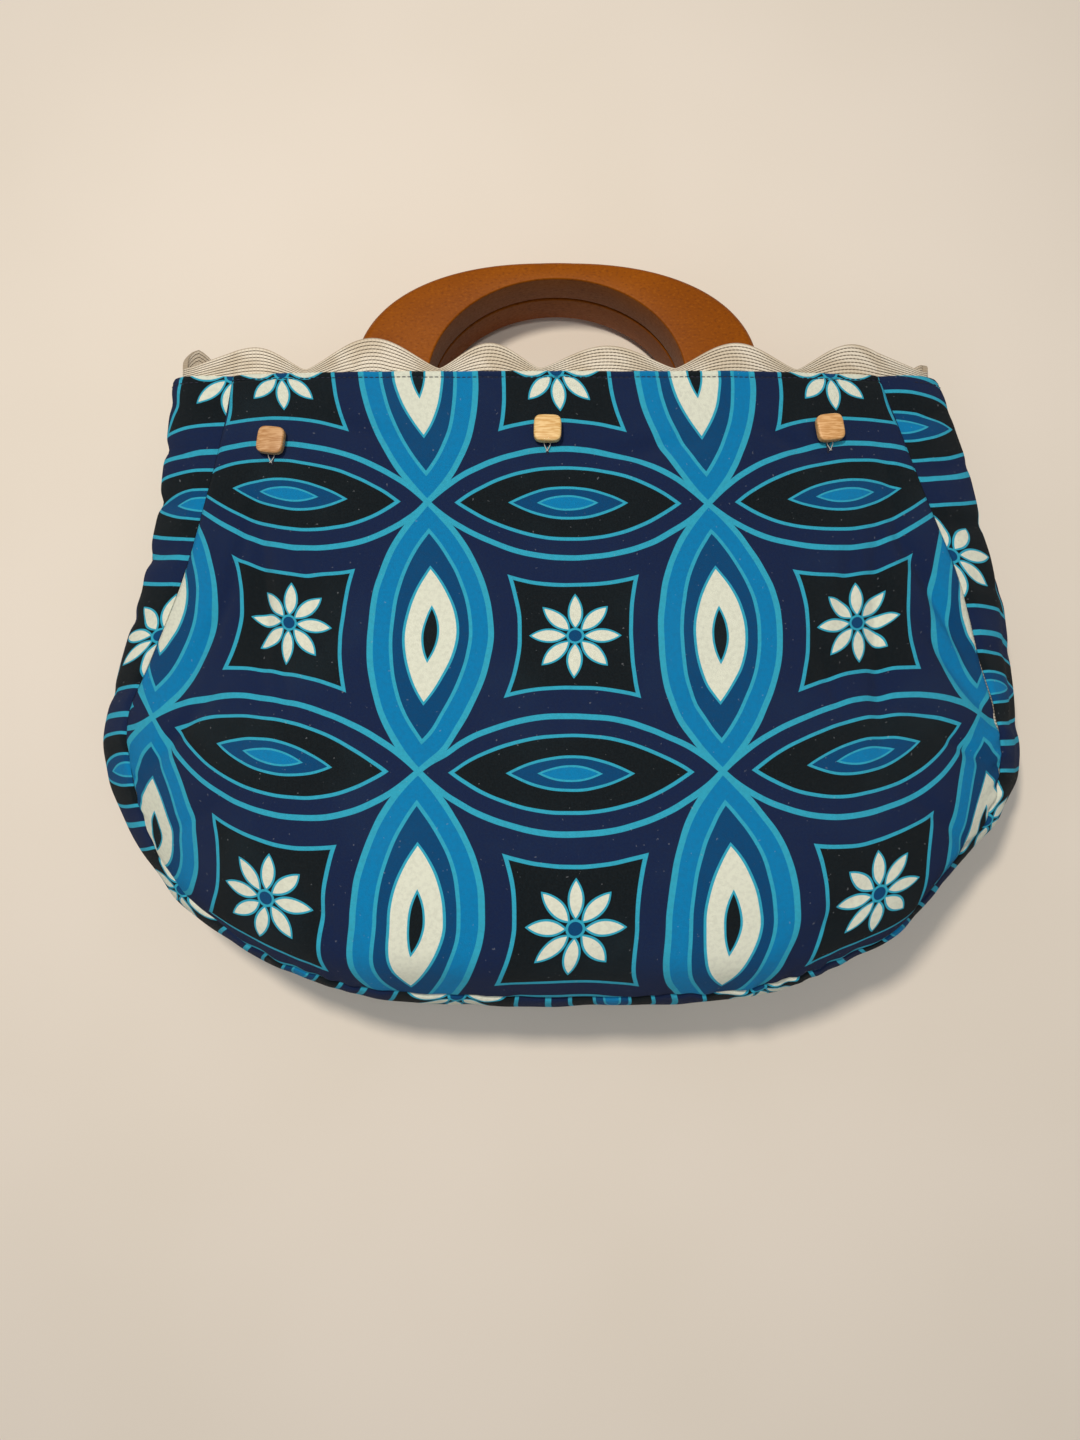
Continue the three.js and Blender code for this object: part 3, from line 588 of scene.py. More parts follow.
height = rim_height(back_point(across, 0 * across)[:, 0])
below, flat = rim_and_body(height)
points = raise_rim(back_point(across, np.maximum(0, below) / PANEL_LENGTH), below, height)[:, ::-1]
inner_grids.append((points, np.stack([distances(points), flat[:, ::-1]], axis=-1)))

ends = []
for end in (0, 1):
    flank = np.clip(1 - (wide / FLANK_ENDS[end]) ** 3, 0, 1)
    height = rim_height(gusset_point(np.full_like(wide, end), wide, True)[:, 0], flank)
    curl = np.clip((wide - CURL_STARTS[end]) / (CURL_ENDS[end] - CURL_STARTS[end]), 0, 1)
    height += SIDE_CURL[end] * np.sin(np.pi * curl) ** CURL_FULLNESS
    below, flat = rim_and_body(height)
    share = CORNER_SHARE * np.maximum(0, below) / PANEL_LENGTH
    points = raise_rim(gusset_point(np.abs(end - share), wide, True), below, height)
    ends.append((points, flat))
bottom = gusset_point(CORNER_SHARE + across[:, None] * (1 - 2 * CORNER_SHARE), wide, True)
(left, left_flat), (right, right_flat) = ends
points = np.vstack([left[:-1], bottom, right[::-1][1:]]).transpose(1, 0, 2)
flat = np.vstack([left_flat[:-1], np.full(bottom.shape[:2], PANEL_LENGTH), right_flat[::-1][1:]]).T
inner_grids.append((points, np.stack([distances(points.transpose(1, 0, 2)).T, flat], axis=-1)))


def braid_relief(flat):
    """How deep the braid's surface lies: grooves between its rows, near the rim."""
    row = flat[:, 1] / BRAID_ROW
    groove = 1 - np.abs(np.sin(np.pi * row)) ** ROW_ROUNDNESS
    return BRAID_RELIEF * groove * np.clip(RIM_ROWS - row, 0, 1) * np.clip(3 * row, 0, 1)


inner_bag = give_wall(sewn("inner_bag", inner_grids), BRAID_WALL, SKIN_DEPTH, braid_relief)

# Off-white braid, with painted shade in the grooves where its rows meet, and greyer where the machine
# stitched across them
PALE_STRAW, DULL_STRAW, FIBRE, GAP_SHADE, GROOVE = colours("e3d9c5", "cdbfa6", "efe4cf", "57442f", "7d6a51")
braid, tree, shader, flat_map = new_material("sewn_braid", flat=True)
parts = add_node(tree, "ShaderNodeSeparateXYZ", flat_map).outputs
row = maths(tree, "DIVIDE", parts[1], BRAID_ROW / 1000)
in_row = off_middle(tree, row)
in_column = off_middle(tree, maths(tree, "DIVIDE", parts[0], STITCH_PITCH / 1000))
gap = times(tree, between(tree, in_row, 0.33, 0.46), between(tree, row, 0.6, 1.0))
stitch = between(tree, in_column, 0.42, 0.25)
sewn_across = times(
    tree,
    between(tree, in_column, 0.3, 0.5, 0.0, 0.32),
    between(tree, row, RIM_ROWS + 0.5, RIM_ROWS - 0.5),
)
patches = noise(tree, flat_map, 60, flat=True)
fibres = noise(tree, flat_map, 2600, flat=True)
tone = painted(
    tree,
    PALE_STRAW,
    (between(tree, patches, 0.35, 0.65), DULL_STRAW),
    (times(tree, fibres, 0.3), FIBRE),
    # painted shade in the grooves where the rows meet, darkest along the dashes of stitching
    (times(tree, gap, maths(tree, "MULTIPLY_ADD", stitch, 0.7, 0.28)), GAP_SHADE),
    (sewn_across, GROOVE),
    (between(tree, row, 0.45, 0.12, 0.0, 0.6), GROOVE),
)
gap_depth = times(tree, gap, maths(tree, "MULTIPLY_ADD", stitch, 0.5, 0.5))
relief = maths(tree, "MULTIPLY_ADD", fibres, 0.3, maths(tree, "SUBTRACT", 1.0, gap_depth))
finish_material(tree, shader, tone, 0.85, relief, 0.0003, Specular_IOR_Level=0.2)
stand_for(inner_bag, "base_bag", braid)

# The cover's print: a traditional grid of interlaced circles in navy, black, blues and cream, whose
# outlines are bright cyan. It is drawn on each panel's flat cloth, so it breaks off at the seams.
NAVY, BLACK, PETROL = colours("13234a", "0d1316", "004a7c")
AZURE, CYAN, CREAM = colours("0087c2", "34b4d2", "f4f7e2")
REPEAT = 112
CIRCLE = math.sqrt(0.5)
LINE_BLUR = 0.12
EDGE_BLUR = 0.1
LEAF_LINE = 2.3
SQUARE_OFF_LEAF = 11.5
SQUARE_LINE = 1.5
PETALS = 8
PETAL_MIDDLE = 10.2
PETAL_HALF_LENGTH = 6.4
PETAL_WIDTHS = (3.1, 2.3)
STAR_WIDTHS = (3.4, 2.5)
BAND = 8
BAND_LINE = 1.4
LENS_CURVE = 0.0125
LENS_HALF_WIDTHS = (6, 9.6)
LENS_LINE = 1.1
LENS_MARGIN = 0.6
SEED_CURVE = 0.022
SEED_HALF_WIDTHS = (3.3, 2.5)
DRIFT = 1.6
DRIFT_WAVES = 30


def print_colour(tree, flat_map):
    """The print's colour at a place on flat cloth, where the printing drifts a little."""

    def vectors(operation, *values, inputs=()):
        return add_node(tree, "ShaderNodeVectorMath", *values, inputs=inputs, operation=operation).outputs[0]

    waves = (("Scale", DRIFT_WAVES),)
    drift = add_node(tree, "ShaderNodeTexNoise", flat_map, inputs=waves, noise_dimensions="2D")
    off = vectors("SUBTRACT", drift.outputs[1], (0.5, 0.5, 0.5))
    place = vectors("ADD", flat_map, vectors("SCALE", off, inputs=(("Scale", DRIFT / 1000),)))
    parts = add_node(tree, "ShaderNodeSeparateXYZ", place).outputs

    def minus(a, b):
        return maths(tree, "SUBTRACT", a, b)

    def length(a, b):
        return maths(tree, "SQRT", maths(tree, "ADD", times(tree, a, a), times(tree, b, b)))

    def line(value, at, width):
        off_line = maths(tree, "ABSOLUTE", minus(value, at))
        return between(tree, off_line, width / 2 + LINE_BLUR, width / 2 - LINE_BLUR)

    def over(value, at):
        return between(tree, value, at - EDGE_BLUR, at + EDGE_BLUR)

    def under(value, at):
        return between(tree, value, at + EDGE_BLUR, at - EDGE_BLUR)

    x, y = (off_middle(tree, maths(tree, "DIVIDE", part, REPEAT / 1000)) for part in parts[:2])
    long, short = maths(tree, "MAXIMUM", x, y), maths(tree, "MINIMUM", x, y)
    upright = maths(tree, "GREATER_THAN", y, x)
    from_arc = length(maths(tree, "ADD", short, 0.5), minus(0.5, long))
    leaf = times(tree, minus(CIRCLE, from_arc), REPEAT)
    corner_x, corner_y = minus(0.5, x), minus(0.5, y)
    from_star = times(tree, length(corner_x, corner_y), REPEAT)

    # Petals round a star where four circles leave room
    step = math.tau / PETALS
    angle = maths(tree, "DIVIDE", maths(tree, "ARCTAN2", corner_y, corner_x), step)
    turn = minus(maths(tree, "FRACT", maths(tree, "ADD", angle, 0.5)), 0.5)
    aside = maths(tree, "ABSOLUTE", times(tree, turn, step, from_star))
    along = maths(tree, "DIVIDE", minus(from_star, PETAL_MIDDLE), PETAL_HALF_LENGTH)
    petal = maths(tree, "MULTIPLY_ADD", times(tree, along, along), PETAL_WIDTHS[1], aside)

    # A lens in each leaf, wider where the leaf stands upright, and a seed in the lens
    beside = times(tree, short, REPEAT)
    down = times(tree, minus(0.5, long), REPEAT)
    down_squared = times(tree, down, down)
    half_width = add_node(tree, "ShaderNodeMix", upright, data_type="FLOAT")
    feed(tree, half_width.inputs[2], LENS_HALF_WIDTHS[0])
    feed(tree, half_width.inputs[3], LENS_HALF_WIDTHS[1])
    lens = minus(maths(tree, "MULTIPLY_ADD", down_squared, LENS_CURVE, beside), half_width.outputs[0])
    seed = maths(tree, "MULTIPLY_ADD", down_squared, SEED_CURVE, beside)

    filled = painted(
        tree,
        mix(tree, upright, NAVY, AZURE),
        (over(leaf, BAND), mix(tree, upright, BLACK, PETROL)),
        (times(tree, line(leaf, BAND, BAND_LINE), over(lens, LENS_MARGIN)), CYAN),
        (under(lens, LENS_LINE), CYAN),
        (under(lens, 0), mix(tree, upright, PETROL, CREAM)),
        (under(seed, SEED_HALF_WIDTHS[0]), CYAN),
        (under(seed, SEED_HALF_WIDTHS[1]), mix(tree, upright, AZURE, BLACK)),
    )
    return painted(
        tree,
        BLACK,
        (over(leaf, -SQUARE_OFF_LEAF), NAVY),
        (line(leaf, -SQUARE_OFF_LEAF, SQUARE_LINE), CYAN),
        (under(petal, PETAL_WIDTHS[0]), CYAN),
        (under(petal, PETAL_WIDTHS[1]), CREAM),
        (under(from_star, STAR_WIDTHS[0]), CYAN),
        (under(from_star, STAR_WIDTHS[1]), PETROL),
        (over(leaf, 0), filled),
        (line(leaf, 0, LEAF_LINE), CYAN),
    )


# The cloth under the print: plain-woven cotton with lint on it, worn and mottled here and there
THREAD_PITCH = 0.42
LINT, WEAR, MOTTLE, THREAD_TONE = colours("b9bcc0", "557f93", "2c2a26", "83aec4")
cotton, tree, shader, flat_map = new_material("printed_cotton", flat=True)
parts = add_node(tree, "ShaderNodeSeparateXYZ", flat_map).outputs
thread_turns = math.tau / (THREAD_PITCH / 1000)
weave = times(tree, *(maths(tree, "SINE", times(tree, part, thread_turns)) for part in parts[:2]))
fuzz = noise(tree, flat_map, 1400, 3, flat=True)
thread_tone = maths(tree, "MULTIPLY_ADD", weave, 0.35, fuzz)
colour = painted(
    tree,
    print_colour(tree, flat_map),
    (between(tree, noise(tree, flat_map, 520, flat=True), 0.765, 0.8, 0.0, 0.22), LINT),
    (between(tree, noise(tree, flat_map, 22, 5, flat=True), 0.45, 0.8, 0.0, 0.035), WEAR),
    (between(tree, noise(tree, flat_map, 560, 4, flat=True), 0.4, 0.68, 0.0, 0.08), MOTTLE),
    (between(tree, thread_tone, 0.2, 0.9, 0.0, 0.024), THREAD_TONE),
)
relief = maths(tree, "MULTIPLY_ADD", weave, 0.5, fuzz)
roughness = between(tree, fuzz, 0.2, 0.8, 0.8, 0.95)
finish_material(tree, shader, colour, roughness, relief, 0.0002, Sheen_Weight=0.02, Specular_IOR_Level=0.12)

# The front panel of the cover: one piece of printed cotton, turned in at the hem and sewn to the
# gusset down both sides and under the bottom, with a buttonhole for each button.
PANEL_ROWS = 190
PANEL_COLUMNS = 250
EDGE_CROWDING = 0.62
HEM_STITCH_DOWN = 2.6
HEM_GROOVE = 0.6
HEM_ROLL = 0.5
SEAM_ROLL = 0.9
SEAM_HOLLOW = 0.35
HEM_RIPPLE = 0.16
SLACK = 0.34
CALM_EDGE = 12
BUTTONS = (("left", 7), ("middle", 1), ("right", -8))
BUTTON_PRESS = 0.55
BUTTON_SWELL = 0.25

# Gathers along the seam: places from the left end of the hem to the right one, and their strengths
GATHER = 0.6
GATHER_AWAY = 2.6
GATHER_PLACES = (0, 0.12, 0.3, 0.5, 0.64, 0.72, 0.85, 1)
GATHER_STRENGTHS = (0.2, 0.4, 0.8, 0.6, 1.1, 1.7, 0.6, 0.2)


def crowded(steps):
    """Shares from 0 to 1 that lie closer together near both ends."""
    t = np.linspace(0, 1, steps + 1)
    return t - EDGE_CROWDING * np.sin(2 * np.pi * t) / (2 * np.pi)


def laid_flat(points, middle_column):
    """Flat places of a panel's points: out from a column, and down that column."""
    out = distances(points)
    out -= out[:, middle_column : middle_column + 1]
    down = distances(points[:, middle_column : middle_column + 1], 0)
    return np.stack([out, np.broadcast_to(-down, out.shape)], axis=-1)


def bell(off, width):
    """1 at 0, and almost nothing from twice the width on."""
    return np.exp(-((off / width) ** 2))


def gathers(share, away):
    """Little gathers beside a seam: deepest a few millimetres from it, gone at a centimetre."""
    at = share * seam_length
    wave = np.sin(at / 1.7 + 1.9 * np.sin(at / 9.3)) * (0.55 + 0.45 * np.sin(at / 23.0 + 1.0))
    wave += 0.6 * np.sin(at / 3.9 + 1.2 * np.sin(at / 14.0))
    strength = GATHER * np.interp(share, GATHER_PLACES, GATHER_STRENGTHS)
    return strength * wave * (away / GATHER_AWAY) * np.exp(1 - away / GATHER_AWAY)


def rolled(away):
    """How far cloth turns in where it is sewn."""
    return SEAM_ROLL * bell(away, 0.9) + SEAM_HOLLOW * bell(away, 3.2)


def sewn_in(share_a, share_b, from_a, from_b):
    """How deep the cloth sinks between two seams, from shares of the seam's length."""
    return rolled(from_a) + rolled(from_b) - gathers(share_a, from_a) - gathers(share_b, from_b)


def hem_groove(away, depth=HEM_GROOVE):
    """How deep the cloth sinks at the hem's stitches and at its turned edge."""
    return depth * bell(away - HEM_STITCH_DOWN, 0.55) + HEM_ROLL * bell(away, 0.45)


def slack(points, size=1.0):
    """The cloth's slow rise and fall over the bag."""
    x, y, z = (points[..., axis] / size for axis in range(3))
    wave = np.sin(x / 17 + 1.3 * np.sin(y / 29)) * np.sin(y / 21 + 1.1 * np.sin(x / 33 + z / 20))
    wave += 0.5 * np.sin(x / 7.3 + y / 13 + 2.1 * np.sin(y / 19)) * np.sin(y / 9.1 - x / 15)
    return SLACK * wave


def panel_edges(points, across, along):
    """How deep a panel sinks at its seams and hem, and how far it is from its hem and its seams."""
    from_left, from_hem = distances(points), distances(points, 0)
    from_side = np.minimum(from_left, from_left[:, -1:] - from_left)
    from_bottom = from_hem[-1:] - from_hem
    side_share = np.where(across < 0.5, CORNER_SHARE * along, 1 - CORNER_SHARE * along)
    low_share = CORNER_SHARE + across * (1 - 2 * CORNER_SHARE)
    sunk = sewn_in(side_share, low_share, from_side, from_bottom) + hem_groove(from_hem)
    return sunk, from_hem, np.minimum(from_side, from_bottom)


def box_of(node):
    """A solid's lowest and highest corners in the bag's own millimetres."""
    return np.array([list(corner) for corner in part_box(node)]) * 1000 - ZERO


button_places = [box_of("button_" + name).mean(axis=0) for name, turn in BUTTONS]

along, across = crowded(PANEL_ROWS)[:, None], crowded(PANEL_COLUMNS)[None, :]
front_points = front_point(across, np.minimum(1, along))
front_flat = laid_flat(front_points, PANEL_COLUMNS // 2)
sunk, from_hem, from_seam = panel_edges(front_points, across, along)
sunk += fold_depth(front_points, CREASES) * np.clip(from_hem / CREASE_START, 0, 1)
sunk -= slack(front_points) * np.clip(from_seam / CALM_EDGE, 0, 1)
at_hem = distances(front_points[:1])
sunk += HEM_RIPPLE * np.sin(at_hem / 2.3 + 1.6 * np.sin(at_hem / 19)) * np.exp(-from_hem / 9)
for x, y, z in button_places:
    off = np.hypot(front_points[..., 0] - x, (front_points[..., 1] - y + 2.5) / 1.3)
    sunk += BUTTON_PRESS * bell(off, 5) - BUTTON_SWELL * bell(off - 9, 4)
front_ways = ways_out(front_points)
front_skin = front_points - front_ways * sunk[..., None]
cover_front = give_wall(sewn("cover_front_panel", [(front_skin, front_flat)]), CLOTH_WALL)
stand_for(cover_front, "cover_front", cotton)

# Topstitching in dark thread along the hem, and the stitches that bind each buttonhole. They are
# sewn by machine through the cloth, so they lie half sunk in it. Each kind has its pitch, its
# length and the width of its thread.
HEM_STITCHES = (2.2, 1.9, 0.45)
HOLE_STITCHES = (0.62, 0.95, 0.5)
SLIT_LENGTH = 13
SLIT_BELOW = 2.5
SLIT_HALF_WIDTH = 0.55
SLIT_POINTS = 60
HEM_STITCH_PROUD = 0.1
HOLE_STITCH_PROUD = 0.15

INK_THREAD, GREY_THREAD = colours("12131f", "23253c")
dark_thread, tree, shader, place = new_material("dark_thread")
strands = noise(tree, place, 2200)
finish_material(tree, shader, mix(tree, strands, INK_THREAD, GREY_THREAD), 0.8, strands, 0.00006)

stitcher = bpy.data.node_groups.new("stitches along a path", "GeometryNodeTree")
sockets = {"Path": "Geometry", "Pitch": "Float", "Length": "Float", "Thread": "Float", "Material": "Material"}
for name, kind in sockets.items():
    made = stitcher.interface.new_socket(name, in_out="INPUT", socket_type="NodeSocket" + kind)
    sockets[name] = made.identifier
stitcher.interface.new_socket("Stitches", in_out="OUTPUT", socket_type="NodeSocketGeometry")
given = add_node(stitcher, "NodeGroupInput").outputs
path = add_node(stitcher, "GeometryNodeMeshToCurve", given["Path"]).outputs[0]
pitch = (("Length", given["Pitch"]),)
places = add_node(stitcher, "GeometryNodeResampleCurve", path, inputs=pitch, mode="LENGTH").outputs[0]
tangent = add_node(stitcher, "GeometryNodeInputTangent").outputs[0]
ahead = (("Vector", tangent),)
turned = add_node(stitcher, "FunctionNodeAlignRotationToVector", inputs=ahead, axis="X").outputs[0]
long, thick = given["Length"], given["Thread"]
size = add_node(stitcher, "ShaderNodeCombineXYZ", long, thick, thick).outputs[0]
one = add_node(stitcher, "GeometryNodeMeshUVSphere", 6, 4, 0.5).outputs["Mesh"]
each = (("Instance", one), ("Rotation", turned), ("Scale", size))
copies = add_node(stitcher, "GeometryNodeInstanceOnPoints", places, inputs=each).outputs[0]
joined = add_node(stitcher, "GeometryNodeRealizeInstances", copies).outputs[0]
finish = (("Material", given["Material"]),)
coloured = add_node(stitcher, "GeometryNodeSetMaterial", joined, inputs=finish)
add_node(stitcher, "NodeGroupOutput", coloured.outputs[0])


def stitch_line(name, lines, sizes, replaced):
    """Stitches along lines of places in millimetres, as a plain mesh."""
    mesh = bpy.data.meshes.new(name)
    places, edges = [], []
    for line in lines:
        edges.extend((len(places) + i, len(places) + i + 1) for i in range(len(line) - 1))
        places.extend(((np.array(line) + ZERO) / 1000).tolist())
    mesh.from_pydata(places, edges, [])
    piece = put_in_scene(name, mesh)
    stitches = piece.modifiers.new("stitches", "NODES")
    stitches.node_group = stitcher
    for socket, value in zip(("Pitch", "Length", "Thread"), sizes):
        stitches[sockets[socket]] = value / 1000
    stitches[sockets["Material"]] = dark_thread
    bpy.context.view_layer.update()
    seen = piece.evaluated_get(bpy.context.evaluated_depsgraph_get())
    piece.data = bpy.data.meshes.new_from_object(seen)
    piece.modifiers.clear()
    piece.data.shade_smooth()
    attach(piece, "root")
    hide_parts(replaced)
    return piece


def on_front(x, y):
    """The place on the front panel at x and y."""
    off = np.hypot(front_skin[..., 0] - x, front_skin[..., 1] - y).ravel()
    near = np.argsort(off)[:4]
    weights = 1 / (off[near] + 0.05)
    return np.array([x, y, np.average(front_skin[..., 2].ravel()[near], weights=weights)])


hem_row = int(np.argmin(np.abs(from_hem[:, PANEL_COLUMNS // 2] - HEM_STITCH_DOWN)))
hem_line = front_skin[hem_row, 2:-2] + front_ways[hem_row, 2:-2] * HEM_STITCH_PROUD
front_stitches = stitch_line("hem_stitches_front", [hem_line], HEM_STITCHES, "cover_front")
hole_lines = []
for x, y, z in button_places:
    turns = np.linspace(0, 2 * np.pi, SLIT_POINTS)
    across = x + SLIT_HALF_WIDTH * np.sin(turns)
    along = y - SLIT_BELOW + SLIT_LENGTH / 2 * np.cos(turns)
    hole_lines.append([on_front(a, b) + (0, 0, HOLE_STITCH_PROUD) for a, b in zip(across, along)])
hole_stitches = stitch_line("buttonhole_stitches", hole_lines, HOLE_STITCHES, "cover_front")

# The gusset: a long strip of the same cotton from the mouth down one side, under the bottom and up
# the other side, sewn to both panels. It falls into soft pleats beside the mouth.
PLEAT_DEPTH = 4.5
GUSSET_AROUND = 470
GUSSET_WIDE = 44
GUSSET_HEM_GROOVE = 0.42
GUSSET_SLACK = 1.6
GUSSET_SLACK_SIZE = 0.7
TUCK_EDGE = 8

# Short tucks across it, in the terms of CREASES
GUSSET_TUCKS = (
    (-0.9, 0.05, 0.05, 0.014, 60, 0.34),
    (-0.91, 0.125, 0.06, 0.013, 73, 0.48),
    (-0.93, 0.21, 0.06, 0.013, 80, 0.48),
    (-0.96, 0.3, 0.07, 0.014, 104, 0.44),
    (-1.0, 0.4, 0.06, 0.014, 75, 0.34),
    (-1.02, 0.52, 0.05, 0.014, 96, 0.34),
    (0.88, 0.07, 0.05, 0.014, 112, 0.34),
    (0.9, 0.16, 0.06, 0.013, 104, 0.44),
    (0.94, 0.25, 0.06, 0.013, 98, 0.48),
    (0.98, 0.34, 0.06, 0.014, 75, 0.44),
    (1.0, 0.46, 0.06, 0.014, 100, 0.4),
    (1.02, 0.57, 0.05, 0.014, 82, 0.34),
)

# side: -1 left, 1 right. from and to: shares of the side's length below the hem. place and width:
# shares of the gusset's width. depth: share of PLEAT_DEPTH.
GUSSET_PLEATS = (
    (-1, -0.1, 0.62, 0.3, 0.13, 1.0),
    (-1, 0.0, 0.5, 0.66, 0.14, 0.7),
    (1, -0.1, 0.42, 0.36, 0.13, 0.9),
    (1, 0.28, 0.8, 0.24, 0.12, 0.7),
    (1, 0.8, 1.3, 0.3, 0.15, 0.6),
)


def pleat_depth(share, wide):
    """How deep the pleats sink at shares of the seam's length and of the gusset's width."""
    below = np.minimum(share, 1 - share) / CORNER_SHARE
    depth = np.zeros(share.shape)
    for side, start, end, place, width, part in GUSSET_PLEATS:
        middle = (start + end) / 2
        fall = bell(wide - place, width) * np.exp(-(((below - middle) / (end - middle)) ** 4))
        depth += np.where(np.sign(share - 0.5) == side, part * PLEAT_DEPTH * fall, 0)
    return depth


share = np.linspace(0, 1, GUSSET_AROUND + 1)[None, :]
wide = crowded(GUSSET_WIDE)[:, None]
gusset_points = gusset_point(share, wide, False, pleat_depth)
gusset_ways = ways_out(gusset_points)
from_front = distances(gusset_points, 0)
from_back = from_front[-1:] - from_front
from_seam = np.minimum(from_front, from_back)
from_mouth = np.minimum(share, 1 - share) * seam_length
sunk = sewn_in(share, 1 - share, from_front, from_back) + hem_groove(from_mouth, GUSSET_HEM_GROOVE)
sunk -= GUSSET_SLACK * slack(gusset_points, GUSSET_SLACK_SIZE) * np.clip(from_seam / CALM_EDGE, 0, 1)
sunk += fold_depth(gusset_points, GUSSET_TUCKS) * np.clip(from_seam / TUCK_EDGE, 0, 1)
gusset_flat = np.stack([from_front, np.broadcast_to(-share * seam_length, from_front.shape)], axis=-1)
gusset_skin = gusset_points - gusset_ways * sunk[..., None]
cover_gusset = give_wall(sewn("cover_gusset_strip", [(gusset_skin, gusset_flat)]), CLOTH_WALL)
stand_for(cover_gusset, "cover_gusset", cotton)
column = int(np.argmin(np.abs(from_mouth[0, : GUSSET_AROUND // 2] - HEM_STITCH_DOWN)))
above = gusset_skin + gusset_ways * HEM_STITCH_PROUD
hem_lines = [above[2:-2, i] for i in (column, -1 - column)]
gusset_stitches = stitch_line("hem_stitches_gusset", hem_lines, HEM_STITCHES, "cover_gusset")

# The back panel: one piece of the same cotton, sewn in like the front one but without buttonholes.
# The bag lies on it, so it is pressed flat on the floor there.
BACK_ROWS = 110
BACK_COLUMNS = 150
along, across = crowded(BACK_ROWS)[:, None], crowded(BACK_COLUMNS)[None, :]
back_points = back_point(1 - across, along)
back_flat = laid_flat(back_points, BACK_COLUMNS // 2)
sunk, from_hem, from_seam = panel_edges(back_points, across, along)
lying = back_points - ways_out(back_points) * sunk[..., None]
lying[..., 2] = np.maximum(lying[..., 2], 0)
cover_back = give_wall(sewn("cover_back_panel", [(lying, back_flat)]), CLOTH_WALL)
stand_for(cover_back, "cover_back", cotton)

# The handles: two arches sawn from honey-coloured wood, their outer edges rounded over and their
# inner edges only eased, with straight legs that pass inside the mouth.
ARCH_HALF_WIDTH = 53
ARCH_RISE = 41.4
ARCH_FOOT = -2
LEG_LENGTH = 35
LEG_SHOULDER_OUT, LEG_SHOULDER_IN, LEG_TOE = 0.6, 0.7, 0.3
SQUARENESS = 2.3
OUTER_EASE = 3.6
INNER_EASE = 0.8
MOST_EASE = 0.4
EASE_STEPS = 5
LEG_STEPS = 30
ARCH_STEPS = 150
HANDLE_SHARP_TURN = 40


def bezier(start, leave, reach, end, steps):
    """Points of a curve that leaves its start towards one point and reaches its end from another."""
    t = np.linspace(0, 1, steps, endpoint=False)[:, None]
    start, leave, reach, end = (np.array(point, float) for point in (start, leave, reach, end))
    first = start * (1 - t) ** 3 + 3 * leave * t * (1 - t) ** 2
    return first + 3 * reach * t**2 * (1 - t) + end * t**3


def edge_line(edge, shoulder, foot, arch):
    """One edge of the wood, from the end of the left leg round the arch to that of the right one."""
    middle = (ARCH_HALF_WIDTH + HANDLE_HALF_WIDTH) / 2
    toe = edge - LEG_TOE * (edge - middle)
    low, high = (middle, -LEG_LENGTH), (edge, foot)
    leg = bezier(low, (toe, -LEG_LENGTH), (edge, -shoulder * LEG_LENGTH), high, LEG_STEPS)
    return np.vstack([leg, arch, (leg * [-1, 1])[::-1]])


angle = np.linspace(0, np.pi, ARCH_STEPS + 1)
c, s = np.cos(angle), np.sin(angle)
power = 2 / SQUARENESS
arch = np.stack([HANDLE_HALF_WIDTH * np.sign(c) * np.abs(c) ** power, HANDLE_RISE * s**power], axis=1)
outer_line = edge_line(HANDLE_HALF_WIDTH, LEG_SHOULDER_OUT, 0, arch)
arch = np.stack([ARCH_HALF_WIDTH * c, ARCH_FOOT + (ARCH_RISE - ARCH_FOOT) * s], axis=1)
inner_line = edge_line(ARCH_HALF_WIDTH, LEG_SHOULDER_IN, ARCH_FOOT, arch)


def ring_of_wood(outer, inner, low):
    """The wood's outline where it is cut across: points from the outer edge round to it again."""
    width = np.linalg.norm(outer - inner)
    away = (outer - inner) / max(width, 1e-6)
    corners = []
    for centre_sign, level_sign in ((1, 1), (-1, 1), (-1, -1), (1, -1)):
        ease = min(OUTER_EASE if centre_sign > 0 else INNER_EASE, MOST_EASE * width)
        for turn in np.linspace(0, np.pi / 2, EASE_STEPS + 1):
            c, s = np.cos(turn), np.sin(turn)
            a, b = (c, s) if centre_sign * level_sign > 0 else (s, c)
            offset = centre_sign * (width / 2 - ease + ease * a)
            level = level_sign * (HANDLE_THICKNESS / 2 - ease + ease * b)
            flat = (outer + inner) / 2 + away * offset
            corners.append((flat[0], BODY_LENGTH + flat[1], low + HANDLE_THICKNESS / 2 + level))
    return corners


# Oiled wood, close-grained and sawn across the board, with dark pores, pale flecks painted in as glints, and
# a low gloss
WOOD_STRETCH = (0.8, 1.3, 1.1)
HONEY, DARK_HONEY, CLOUD, PORE, GLINT_HIGHLIGHT = colours("8d4a01", "834301", "7a3d06", "5c2c04", "a35e14")
wood, tree, shader, place = new_material("honey_wood")
grain = add_node(tree, "ShaderNodeMapping", place, inputs=(("Scale", WOOD_STRETCH),)).outputs[0]
flecks = noise(tree, grain, 900, 3)
colour = painted(
    tree,
    HONEY,
    (between(tree, noise(tree, grain, 55, 4), 0.3, 0.7), DARK_HONEY),
    (between(tree, noise(tree, place, 18), 0.35, 0.7, 0.0, 0.35), CLOUD),
    (between(tree, flecks, 0.55, 0.68, 0.0, 0.4), PORE),
    # pale flecks painted in as a highlight: glints put into the colour
    (between(tree, flecks, 0.43, 0.34, 0.0, 0.3), GLINT_HIGHLIGHT),
)
gloss = between(tree, flecks, 0.3, 0.7, 0.4, 0.5)
finish_material(tree, shader, colour, gloss, flecks, 0.00005, Specular_IOR_Level=0.1)

